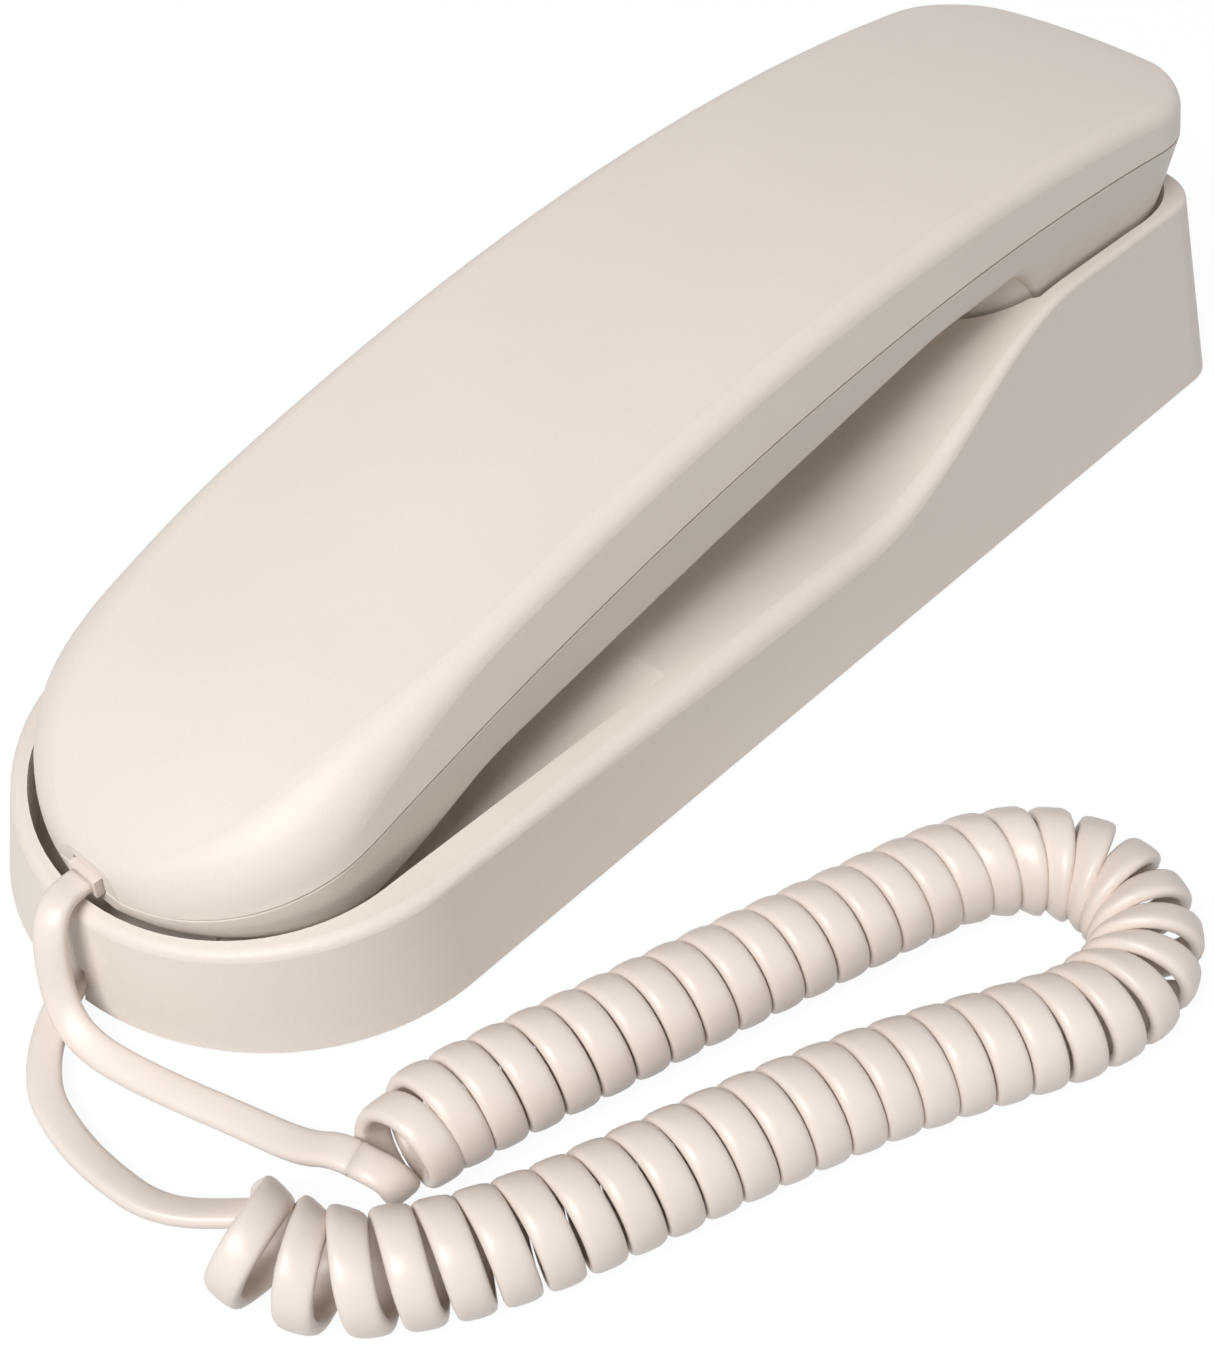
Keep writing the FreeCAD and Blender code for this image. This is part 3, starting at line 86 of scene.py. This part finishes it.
# shader maths: a socket that can be added, multiplied and so on
class Wire:
    def __init__(self, tree, socket=None):
        self.tree = tree
        self.socket = socket

    def add(self, kind, settings, inputs, output=0):
        node = self.tree.nodes.new(kind)
        for name, value in settings.items():
            setattr(node, name, value)
        for name, value in inputs.items():
            if isinstance(value, Wire):
                self.tree.links.new(value.socket, node.inputs[name])
            else:
                node.inputs[name].default_value = value
        return Wire(self.tree, node.outputs[output])

    def maths(self, operation, first, second):
        return self.add("ShaderNodeMath", {"operation": operation}, {0: first, 1: second})

    def __add__(self, other):
        return self.maths("ADD", self, other)

    __radd__ = __add__

    def __mul__(self, other):
        return self.maths("MULTIPLY", self, other)

    __rmul__ = __mul__

    def __sub__(self, other):
        return self.maths("SUBTRACT", self, other)

    def __rsub__(self, other):
        return self.maths("SUBTRACT", other, self)


def newMaterial(name):
    material = bpy.data.materials.new(name)
    material.use_nodes = True
    tree = material.node_tree
    surface = tree.nodes["Principled BSDF"]
    return material, Wire(tree), surface


def feed(wire, surface, socket):
    wire.tree.links.new(wire.socket, surface.inputs[socket])


def objectPlace(wire):
    return wire.add("ShaderNodeTexCoord", {}, {}, "Object")


def noise(wire, place, scale, detail, roughness=0.5):
    inputs = {"Vector": place, "Scale": scale, "Detail": detail, "Roughness": roughness}
    return wire.add("ShaderNodeTexNoise", {}, inputs)


def spread(wire, value, low, high):
    return wire.add("ShaderNodeMapRange", {}, {"Value": value, "From Min": low, "From Max": high})


def blendColours(wire, share, first, second):
    settings = {"data_type": "RGBA"}
    return wire.add("ShaderNodeMix", settings, {"Factor": share, 6: first, 7: second}, 2)


def bump(wire, height, strength, distance):
    inputs = {"Height": height, "Strength": strength, "Distance": distance}
    return wire.add("ShaderNodeBump", {}, inputs)


# moulded plastic: faint clouds, a fine spark texture and a soft sheen
moulding = {
    "cloudScale": 38,
    "cloudDetail": 3.0,
    "cloudRange": (0.3, 0.7),
    "cloudShare": 0.6,
    "grainDetail": 1.0,
    "grainBump": 0.35,
    "speckRange": (0.35, 0.65),
    "speckShare": 0.4,
    "roughnessDrop": 0.04,
    "roughnessSwing": 0.05,
    "specular": 0.42,
}
shellFinish = {
    "light": (0.830, 0.750, 0.680, 1),
    "dark": (0.785, 0.706, 0.637, 1),
    "roughness": 0.44,
    "grain": 3400,
    "grainDepth": 0.00004,
}


def mouldedPlastic(name, finish):
    material, wire, surface = newMaterial(name)
    place = objectPlace(wire)
    clouds = noise(wire, place, moulding["cloudScale"], moulding["cloudDetail"])
    cloudy = spread(wire, clouds, *moulding["cloudRange"])
    grain = noise(wire, place, finish["grain"], moulding["grainDetail"])
    speck = spread(wire, grain, *moulding["speckRange"])
    share = cloudy * moulding["cloudShare"] + speck * moulding["speckShare"]
    feed(blendColours(wire, share, finish["dark"], finish["light"]), surface, "Base Color")
    smoothest = finish["roughness"] - moulding["roughnessDrop"]
    swing = moulding["roughnessSwing"]
    feed(smoothest + cloudy * swing + speck * swing, surface, "Roughness")
    feed(bump(wire, grain, moulding["grainBump"], finish["grainDepth"]), surface, "Normal")
    surface.inputs["Specular IOR Level"].default_value = moulding["specular"]
    return material


shellPlastic = mouldedPlastic("shellPlastic", shellFinish)
keyPlastic = mouldedPlastic("keyPlastic", {
    "light": (0.86, 0.83, 0.78, 1),
    "dark": (0.82, 0.79, 0.735, 1),
    "roughness": 0.36,
    "grain": 5200,
    "grainDepth": 0.00002,
})
darkPlastic = mouldedPlastic("darkPlastic", {
    "light": (0.030, 0.030, 0.033, 1),
    "dark": (0.018, 0.018, 0.020, 1),
    "roughness": 0.40,
    "grain": 4200,
    "grainDepth": 0.00003,
})
footRubber = mouldedPlastic("footRubber", {
    "light": (0.040, 0.040, 0.041, 1),
    "dark": (0.022, 0.022, 0.023, 1),
    "roughness": 0.78,
    "grain": 2300,
    "grainDepth": 0.00008,
})
matRubber = mouldedPlastic("matRubber", {
    "light": (0.40, 0.40, 0.39, 1),
    "dark": (0.33, 0.33, 0.32, 1),
    "roughness": 0.70,
    "grain": 2600,
    "grainDepth": 0.00005,
})
wireSleeve = mouldedPlastic("wireSleeve", {
    "light": (0.36, 0.035, 0.03, 1),
    "dark": (0.27, 0.024, 0.02, 1),
    "roughness": 0.38,
    "grain": 3000,
    "grainDepth": 0.00002,
})

# glossy vinyl of the cord, a little pinker than the shells
cordFinish = {
    "light": (0.850, 0.757, 0.692, 1),
    "dark": (0.800, 0.702, 0.634, 1),
    "roughness": 0.33,
    "specular": 0.45,
    "cloudScale": 60,
    "cloudDetail": 3.0,
    "cloudRange": (0.3, 0.7),
    "cloudShare": 0.75,
    "cloudGloss": 0.03,
    "skinScale": 1500,
    "skinDetail": 2.0,
    "skinShare": 0.25,
    "skinBump": 0.3,
    "skinDepth": 0.00005,
    "rubScale": 240,
    "rubDetail": 4.0,
    "rubCoarseness": 0.65,
    "rubRange": (0.45, 0.75),
    "rubRoughness": 0.10,
}


def cordVinyl():
    material, wire, surface = newMaterial("cordVinyl")
    place = objectPlace(wire)
    clouds = noise(wire, place, cordFinish["cloudScale"], cordFinish["cloudDetail"])
    cloudy = spread(wire, clouds, *cordFinish["cloudRange"])
    skin = noise(wire, place, cordFinish["skinScale"], cordFinish["skinDetail"])
    rubs = noise(wire, place, cordFinish["rubScale"], cordFinish["rubDetail"], cordFinish["rubCoarseness"])
    rubbed = spread(wire, rubs, *cordFinish["rubRange"])
    share = cloudy * cordFinish["cloudShare"] + skin * cordFinish["skinShare"]
    feed(blendColours(wire, share, cordFinish["dark"], cordFinish["light"]), surface, "Base Color")
    worn = cordFinish["roughness"] + rubbed * cordFinish["rubRoughness"]
    feed(worn - cloudy * cordFinish["cloudGloss"], surface, "Roughness")
    feed(bump(wire, skin, cordFinish["skinBump"], cordFinish["skinDepth"]), surface, "Normal")
    surface.inputs["Specular IOR Level"].default_value = cordFinish["specular"]
    return material


vinyl = cordVinyl()


# brushed metal for screws, spring, ballast and the ringer's disc
brushing = {
    "stretch": (1, 14, 1),
    "detail": 3.0,
    "streakScale": 900,
    "streakRange": (0.3, 0.7),
    "streakShare": 0.6,
    "streakRoughness": 0.10,
    "streakBump": 0.2,
    "streakDepth": 0.00002,
    "dullScale": 220,
    "dullRange": (0.35, 0.7),
    "dullShare": 0.4,
    "dullRoughness": 0.08,
}


def brushedMetal(name, light, dark, roughness):
    material, wire, surface = newMaterial(name)
    place = objectPlace(wire)
    along = wire.add("ShaderNodeMapping", {}, {"Vector": place, "Scale": brushing["stretch"]})
    streaks = noise(wire, along, brushing["streakScale"], brushing["detail"])
    streak = spread(wire, streaks, *brushing["streakRange"])
    patches = noise(wire, place, brushing["dullScale"], brushing["detail"])
    dull = spread(wire, patches, *brushing["dullRange"])
    share = streak * brushing["streakShare"] + dull * brushing["dullShare"]
    feed(blendColours(wire, share, dark, light), surface, "Base Color")
    brushed = roughness + streak * brushing["streakRoughness"]
    feed(brushed + dull * brushing["dullRoughness"], surface, "Roughness")
    feed(bump(wire, streak, brushing["streakBump"], brushing["streakDepth"]), surface, "Normal")
    surface.inputs["Metallic"].default_value = 1.0
    return material


plainSteel = brushedMetal("plainSteel", (0.60, 0.60, 0.61, 1), (0.42, 0.42, 0.43, 1), 0.28)
discBrass = brushedMetal("discBrass", (0.74, 0.56, 0.24, 1), (0.55, 0.40, 0.16, 1), 0.30)


# green lacquered board with paler copper tracks under the lacquer
boardFinish = {
    "lacquerDark": (0.010, 0.075, 0.030, 1),
    "lacquerLight": (0.016, 0.11, 0.045, 1),
    "track": (0.05, 0.21, 0.085, 1),
    "trackOffset": 0.37,
    "trackScale": 170,
    "trackWidth": 0.06,
    "trackBump": 0.4,
    "trackDepth": 0.00004,
    "cloudScale": 90,
    "cloudDetail": 3.0,
    "cloudRoughness": 0.15,
    "roughness": 0.30,
}


def lacqueredBoard():
    material, wire, surface = newMaterial("lacqueredBoard")
    place = objectPlace(wire)
    tracks = wire.add("ShaderNodeTexBrick", {"offset": boardFinish["trackOffset"]}, {
        "Vector": place,
        "Scale": boardFinish["trackScale"],
        "Mortar Size": boardFinish["trackWidth"],
        "Color1": (0, 0, 0, 1),
        "Color2": (0, 0, 0, 1),
        "Mortar": (1, 1, 1, 1),
    }, 1)
    cloudy = noise(wire, place, boardFinish["cloudScale"], boardFinish["cloudDetail"])
    lacquer = blendColours(wire, cloudy, boardFinish["lacquerDark"], boardFinish["lacquerLight"])
    feed(blendColours(wire, tracks, lacquer, boardFinish["track"]), surface, "Base Color")
    feed(boardFinish["roughness"] + cloudy * boardFinish["cloudRoughness"], surface, "Roughness")
    feed(bump(wire, tracks, boardFinish["trackBump"], boardFinish["trackDepth"]), surface, "Normal")
    return material


boardLacquer = lacqueredBoard()

# keys aren't listed, nor the CAD cords that the scene's own cord replaces
finishes = {
    "handset_back": shellPlastic,
    "handset_face": shellPlastic,
    "base_cradle": shellPlastic,
    "base_plate": shellPlastic,
    "hook_plunger": keyPlastic,
    "ringer_knob": darkPlastic,
    "keypad_mat": matRubber,
    "microphone_boot": matRubber,
    "receiver_gasket": matRubber,
    "base_feet": footRubber,
    "handset_board": boardLacquer,
    "base_board": boardLacquer,
    "board_screws": plainSteel,
    "handset_screws": plainSteel,
    "base_screws": plainSteel,
    "base_board_screws": plainSteel,
    "base_ballast": plainSteel,
    "hook_spring": plainSteel,
    "receiver": darkPlastic,
    "microphone": darkPlastic,
    "ringer": discBrass,
    "line_jack": darkPlastic,
    "hook_switch": darkPlastic,
    "ringer_switch": darkPlastic,
    "handset_cord_anchor": vinyl,
    "base_cord_anchor": vinyl,
    "handset_wires": wireSleeve,
    "receiver_wires": wireSleeve,
    "base_wires": wireSleeve,
}
for nodeName, piece in nodes.items():
    piece.data.materials.clear()
    piece.data.materials.append(finishes.get(nodeName, keyPlastic))
print("finishes on the CAD nodes")

# printed numbers on the twelve dialling keys, read from below with the ear end up
keyPrint = {
    "marks": {"star": "*", "hash": "#"},
    "names": ["1", "2", "3", "4", "5", "6", "7", "8", "9", "star", "0", "hash"],
    "press": Vector((0, -0.1998, 0.9798)),
    "upward": Vector((0, 0.9798, 0.1998)),
    "height": 0.0062,
    "ink": 0.00003,
}


def printKeys():
    press, upward = keyPrint["press"], keyPrint["upward"]
    for name in keyPrint["names"]:
        corners = [vertex.co for vertex in nodes["key_" + name].data.vertices]
        across = [corner.x for corner in corners]
        along = [corner.dot(upward) for corner in corners]
        depth = min(corner.dot(press) for corner in corners)
        middle = Vector(((min(across) + max(across)) / 2, 0, 0)) + upward * (min(along) + max(along)) / 2
        letter = bpy.data.curves.new("print_" + name, "FONT")
        letter.body = keyPrint["marks"].get(name, name)
        letter.size = keyPrint["height"]
        letter.align_x = "CENTER"
        letter.align_y = "CENTER"
        letter.extrude = keyPrint["ink"]
        holder = bpy.data.objects.new("print_" + name, letter)
        scene.collection.objects.link(holder)
        bpy.context.view_layer.update()
        data = bpy.data.meshes.new_from_object(holder)
        bpy.data.objects.remove(holder)
        turn = Matrix((Vector((-1, 0, 0)), upward, -press)).transposed().to_4x4()
        data.transform(Matrix.Translation(middle + press * depth) @ turn)
        data.materials.clear()
        data.materials.append(darkPlastic)
        piece = bpy.data.objects.new("print_" + name, data)
        scene.collection.objects.link(piece)
        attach(piece, "key_" + name)


printKeys()
print("numbers printed")

# the cord is a flat ribbon: wide along the curls' axis, thin across it
cordRoute = {
    "coilWidth": 0.0045,
    "leadWidth": 0.0042,
    "thickness": 0.0021,
    "turns": 48.25,
    "curlRadius": 0.0058,
    "startRadius": 0.0026,
    "growth": 0.006,
    "looseLength": 0.030,
    "looseShare": 0.38,
    "looseTilt": 0.42,
    "tiltTurns": 2.6,  # turns from the loose end at which the tilt starts
    "tiltEase": 2.2,  # turns over which it grows
    "clearance": 0.0003,  # above the floor, for turns that lean
    "stub": 0.0024,  # straight stretch where curls and leads meet
    "overlap": 0.0003,  # how far the handset lead runs into the curls
    "widthEase": 0.02,  # length over which one width becomes the other
    "tileSlack": 1.02,
    "steepestLean": 0.92,  # sine of the angle
    "crowding": 0.25,  # share of the width over which the lean grows
    "cornerPower": 0.68,  # 1 is an ellipse, and less is squarer
    "stepsPerTurn": 26,
    "ringCorners": 16,
    "axisResolution": 40,
    "leadResolution": 5,
    "handsetLead": [
        (0.0, -0.1046, 0.0165), (0.0, -0.1064, 0.0165), (0.0006, -0.1087, 0.0166),
        (0.0016, -0.1107, 0.0155), (0.0025, -0.1119, 0.0133), (0.0033, -0.1127, 0.0106),
        (0.0043, -0.1134, 0.0078), (0.0060, -0.1141, 0.0054), (0.0088, -0.1145, 0.0036),
        (0.0128, -0.1142, 0.0027), (0.0180, -0.1130, 0.0024), (0.0240, -0.1114, 0.0024),
        (0.0300, -0.1096, 0.0025), (0.0354, -0.1083, 0.0030), (0.0396, -0.1076, 0.0040),
        (0.0430, -0.1069, 0.0053),
    ],
    "baseLead": [
        (0.0446, -0.1146, 0.0031), (0.0412, -0.1176, 0.0025),
        (0.0369, -0.1214, 0.0024), (0.0328, -0.1234, 0.0025), (0.0282, -0.1240, 0.0025),
        (0.0228, -0.1242, 0.0025), (0.0174, -0.1236, 0.0025), (0.0126, -0.1224, 0.0024),
        (0.0086, -0.1198, 0.0024), (0.0054, -0.1166, 0.0025), (0.0030, -0.1130, 0.0028),
        (0.0013, -0.1094, 0.0034), (0.0003, -0.1062, 0.0041), (0.0, -0.1036, 0.0044),
        (0.0, -0.1000, 0.0044),
    ],
    "curlAxis": [
        (0.0506, -0.1044), (0.0506, -0.0996), (0.0516, -0.0936), (0.0542, -0.0848), (0.0572, -0.0748),
        (0.0605, -0.0636), (0.0640, -0.0522), (0.0676, -0.0410), (0.0708, -0.0306), (0.0742, -0.0216),
        (0.0798, -0.0146), (0.0880, -0.0118), (0.0962, -0.0152), (0.1003, -0.0234), (0.0984, -0.0332),
        (0.0928, -0.0434), (0.0872, -0.0538), (0.0823, -0.0648), (0.0780, -0.0760), (0.0742, -0.0870),
        (0.0706, -0.0968), (0.0668, -0.1048), (0.0624, -0.1114), (0.0570, -0.1172), (0.0514, -0.1200),
        (0.0460, -0.1204),
    ],
}


def readSpline(name, points, resolution):
    curve = bpy.data.curves.new(name, "CURVE")
    curve.dimensions = "3D"
    curve.resolution_u = resolution
    spline = curve.splines.new("NURBS")
    spline.points.add(len(points) - 1)
    for target, point in zip(spline.points, points):
        target.co = (*point, 1)
    spline.order_u = 3
    spline.use_endpoint_u = True
    holder = bpy.data.objects.new(name, curve)
    scene.collection.objects.link(holder)
    bpy.context.view_layer.update()
    mesh = bpy.data.meshes.new_from_object(holder)
    places = [vertex.co.copy() for vertex in mesh.vertices]
    bpy.data.objects.remove(holder)
    bpy.data.meshes.remove(mesh)
    bpy.data.curves.remove(curve)
    return places


def smoothStep(share):
    share = min(max(share, 0.0), 1.0)
    return share * share * (3 - 2 * share)


def runLengths(places):
    run = [0.0]
    for first, second in zip(places, places[1:]):
        run.append(run[-1] + (second - first).length)
    return run


# how many turns are made by each place on the axis, with fewer to a length at the loose end
def turnsAlong(run):
    turned = [0.0]
    for first, second in zip(run, run[1:]):
        loose = 1 - smoothStep((run[-1] - (first + second) / 2) / cordRoute["looseLength"])
        turned.append(turned[-1] + (second - first) / (1 + cordRoute["looseShare"] * loose))
    return [cordRoute["turns"] * value / turned[-1] for value in turned]


# the curls lie on the floor, start small, and tip back at the loose end
def windCurls():
    flatAxis = [(x, y, 0.0) for x, y in cordRoute["curlAxis"]]
    axis = readSpline("curlAxis", flatAxis, cordRoute["axisResolution"])
    run = runLengths(axis)
    turned = turnsAlong(run)
    turns = cordRoute["turns"]
    steps = int(turns * cordRoute["stepsPerTurn"])
    points = []
    outward = []
    along = 0
    for i in range(steps + 1):
        turn = turns * i / steps
        while along < len(turned) - 2 and turned[along + 1] < turn:
            along += 1
        share = (turn - turned[along]) / (turned[along + 1] - turned[along])
        place = axis[along].lerp(axis[along + 1], share)
        heading = (axis[along + 1] - axis[along]).normalized()
        distance = run[along] + (run[along + 1] - run[along]) * share
        grown = smoothStep(distance / cordRoute["growth"])
        radius = cordRoute["startRadius"] + (cordRoute["curlRadius"] - cordRoute["startRadius"]) * grown
        angle = 2 * math.pi * turn
        tilted = (turn - turns + cordRoute["tiltTurns"]) / cordRoute["tiltEase"]
        tilt = cordRoute["looseTilt"] * smoothStep(tilted)
        upward = Vector((0, 0, 1)) * math.cos(tilt) - heading * math.sin(tilt)
        radial = Vector((heading.y, -heading.x, 0)) * math.sin(angle) + upward * math.cos(angle)
        sunk = cordRoute["coilWidth"] / 2 * math.sin(tilt)
        height = radius * upward.z + cordRoute["thickness"] / 2 + sunk + cordRoute["clearance"]
        lift = Vector((0, 0, height))
        points.append(place + lift + radial * radius)
        outward.append(radial)
    return points, outward


def headingsOf(points):
    ends = [points[0]] + points[:-1], points[1:] + [points[-1]]
    return [(after - before).normalized() for before, after in zip(*ends)]


# where turns crowd on the inside of a bend, each leans over the next like a roof tile
def leanOfTurns(points):
    perTurn = cordRoute["stepsPerTurn"]
    width = cordRoute["coilWidth"]
    leans = []
    for i, point in enumerate(points):
        neighbours = [j for j in (i - perTurn, i + perTurn) if 0 <= j < len(points)]
        gap = min((points[j] - point).length for j in neighbours)
        tile = cordRoute["tileSlack"] * cordRoute["thickness"] / gap
        needed = math.asin(min(tile, cordRoute["steepestLean"]))
        leans.append(needed * smoothStep((width - gap) / (cordRoute["crowding"] * width)))
    window = perTurn // 4
    spans = [leans[max(i - window, 0):i + window + 1] for i in range(len(leans))]
    return [sum(span) / len(span) for span in spans]


# carries a face direction along a line without twisting it, then twists it to meet the far end
def carryFaces(headings, first, last):
    faces = [(first - headings[0] * first.dot(headings[0])).normalized()]
    for before, after in zip(headings, headings[1:]):
        face = before.rotation_difference(after) @ faces[-1]
        faces.append((face - after * face.dot(after)).normalized())
    goal = (last - headings[-1] * last.dot(headings[-1])).normalized()
    twist = math.atan2(faces[-1].cross(goal).dot(headings[-1]), faces[-1].dot(goal))
    if abs(twist) > math.pi / 2:
        twist -= math.copysign(math.pi, twist)
    count = len(faces) - 1
    return [
        Quaternion(heading, twist * smoothStep(i / count)) @ face
        for i, (heading, face) in enumerate(zip(headings, faces))
    ]


def ringPlace(point, heading, face, width, thickness):
    side = heading.cross(face).normalized()
    face = side.cross(heading).normalized()
    turn = Matrix((side, face, heading)).transposed().to_4x4()
    return Matrix.Translation(point) @ turn @ Matrix.Diagonal((width / 2, thickness / 2, 1, 1))


# sweeps a rounded flat section along the points by extruding its ring from place to place
def sweepRibbon(name, points, faces, widths):
    headings = headingsOf(points)
    thickness = cordRoute["thickness"]
    places = [
        ringPlace(point, heading, face, width, thickness)
        for point, heading, face, width in zip(points, headings, faces, widths)
    ]
    mesh = bmesh.new()
    made = bmesh.ops.create_circle(mesh, segments=cordRoute["ringCorners"], radius=1.0)
    ring = made["verts"]
    power = cordRoute["cornerPower"]
    for vertex in ring:
        x, y = vertex.co.x, vertex.co.y
        vertex.co.x = math.copysign(abs(x) ** power, x)
        vertex.co.y = math.copysign(abs(y) ** power, y)
    bmesh.ops.transform(mesh, matrix=places[0], verts=ring)
    edges = list(mesh.edges)
    bmesh.ops.contextual_create(mesh, geom=edges)
    for before, after in zip(places, places[1:]):
        grown = bmesh.ops.extrude_edge_only(mesh, edges=edges)["geom"]
        ring = [item for item in grown if isinstance(item, bmesh.types.BMVert)]
        chosen = set(ring)
        edges = [
            item for item in grown
            if isinstance(item, bmesh.types.BMEdge) and all(vertex in chosen for vertex in item.verts)
        ]
        bmesh.ops.transform(mesh, matrix=after @ before.inverted(), verts=ring)
    bmesh.ops.contextual_create(mesh, geom=edges)
    bmesh.ops.recalc_face_normals(mesh, faces=mesh.faces)
    for face in mesh.faces:
        face.smooth = len(face.verts) == 4
    data = bpy.data.meshes.new(name)
    mesh.to_mesh(data)
    mesh.free()
    piece = bpy.data.objects.new(name, data)
    scene.collection.objects.link(piece)
    data.materials.append(vinyl)
    return piece


def widthsAlong(run, firstWidth, lastWidth, easeFrom):
    change = lastWidth - firstWidth
    return [firstWidth + change * smoothStep((at - easeFrom) / cordRoute["widthEase"]) for at in run]


def makeCord():
    coilWidth, leadWidth = cordRoute["coilWidth"], cordRoute["leadWidth"]
    points, outward = windCurls()
    headings = headingsOf(points)
    stub = cordRoute["stub"]
    first = points[0] - headings[0] * stub
    last = points[-1] + headings[-1] * stub
    leans = leanOfTurns(points)
    faces = [Quaternion(h, lean) @ radial for h, lean, radial in zip(headings, leans, outward)]

    joint = [first - headings[0] * stub, first + headings[0] * cordRoute["overlap"]]
    lead = readSpline("handsetRoute", cordRoute["handsetLead"] + joint, cordRoute["leadResolution"])
    leadHeadings = headingsOf(lead)
    leadFaces = carryFaces(leadHeadings, Vector((0, 0, 1)), faces[0])
    leadRun = runLengths(lead)
    widths = widthsAlong(leadRun, leadWidth, coilWidth, leadRun[-1] - cordRoute["widthEase"])
    handsetLead = sweepRibbon("handset_lead", lead, leadFaces, widths)
    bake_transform(handsetLead)
    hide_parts("cord_handset_lead")

    leaving = [last, last + headings[-1] * stub]
    tail = readSpline("baseRoute", leaving + cordRoute["baseLead"], cordRoute["leadResolution"])
    tailHeadings = headingsOf(tail)
    tailFaces = carryFaces(tailHeadings, faces[-1], Vector((0, 0, -1)))
    tailRun = runLengths(tail)
    tailWidths = widthsAlong(tailRun, coilWidth, leadWidth, 0.0)
    whole = [first] + points + tail
    curls = sweepRibbon(
        "curls",
        whole,
        [faces[0]] + faces + tailFaces,
        [coilWidth] * (len(points) + 1) + tailWidths,
    )
    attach(curls, "base")
    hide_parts("cord_curls", "cord_base_lead")
    runLengths(whole)[-1]


makeCord()
print("cord wound")


# pale floor that keeps the shadow, and plain soft light
studio = {
    "worldLight": 0.12,
    "worldColour": (1, 1, 1, 1),
    "floorReach": 3.0,
    "floorColour": (0.46, 0.46, 0.45, 1),
    "floorRoughness": 0.9,
    "floorGlow": 0.82,
    "glowColour": (0.985, 0.992, 1, 1),
    "glowStrength": 1.15,
    "lamps": {
        "keyLamp": {"place": (0.20, -0.85, 1.05), "size": 0.7, "power": 17.0},
        "fillLamp": {"place": (1.00, 0.45, 0.60), "size": 0.9, "power": 2.4},
    },
}


# 1 for what the camera sees straight, mirrored or through the object, and 0 for light that bounces
def seenRays(wire):
    path = wire.tree.nodes.new("ShaderNodeLightPath")
    camera, glossy, through = [
        Wire(wire.tree, path.outputs[name])
        for name in ("Is Camera Ray", "Is Glossy Ray", "Is Transmission Ray")
    ]
    return camera + glossy + through


def floorMaterial():
    material, wire, surface = newMaterial("paleFloor")
    surface.inputs["Base Color"].default_value = studio["floorColour"]
    surface.inputs["Roughness"].default_value = studio["floorRoughness"]
    glowInputs = {"Color": studio["glowColour"], "Strength": studio["glowStrength"]}
    glow = wire.add("ShaderNodeEmission", {}, glowInputs)
    mix = wire.tree.nodes.new("ShaderNodeMixShader")
    feed(seenRays(wire) * studio["floorGlow"], mix, "Fac")
    wire.tree.links.new(surface.outputs[0], mix.inputs[1])
    wire.tree.links.new(glow.socket, mix.inputs[2])
    wire.tree.links.new(mix.outputs[0], wire.tree.nodes["Material Output"].inputs["Surface"])
    return material


def layFloor():
    mesh = bmesh.new()
    bmesh.ops.create_grid(mesh, x_segments=2, y_segments=2, size=studio["floorReach"])
    data = bpy.data.meshes.new("floor")
    mesh.to_mesh(data)
    mesh.free()
    floor = bpy.data.objects.new("floor", data)
    scene.collection.objects.link(floor)
    data.materials.append(floorMaterial())


def lightWorld():
    world = bpy.data.worlds.new("studio")
    world.use_nodes = True
    scene.world = world
    sky = Wire(world.node_tree)
    background = world.node_tree.nodes["Background"]
    background.inputs["Color"].default_value = studio["worldColour"]
    feed(studio["worldLight"] + seenRays(sky) * (1 - studio["worldLight"]), background, "Strength")


# each lamp points at the frame's origin
def hangLamps():
    for name, settings in studio["lamps"].items():
        lamp = bpy.data.lights.new(name, "AREA")
        lamp.size = settings["size"]
        lamp.energy = settings["power"]
        holder = bpy.data.objects.new(name, lamp)
        holder.location = settings["place"]
        holder.rotation_mode = "QUATERNION"
        holder.rotation_quaternion = Vector(settings["place"]).to_track_quat("Z", "Y")
        scene.collection.objects.link(holder)


layFloor()
lightWorld()
hangLamps()
print("studio lit")
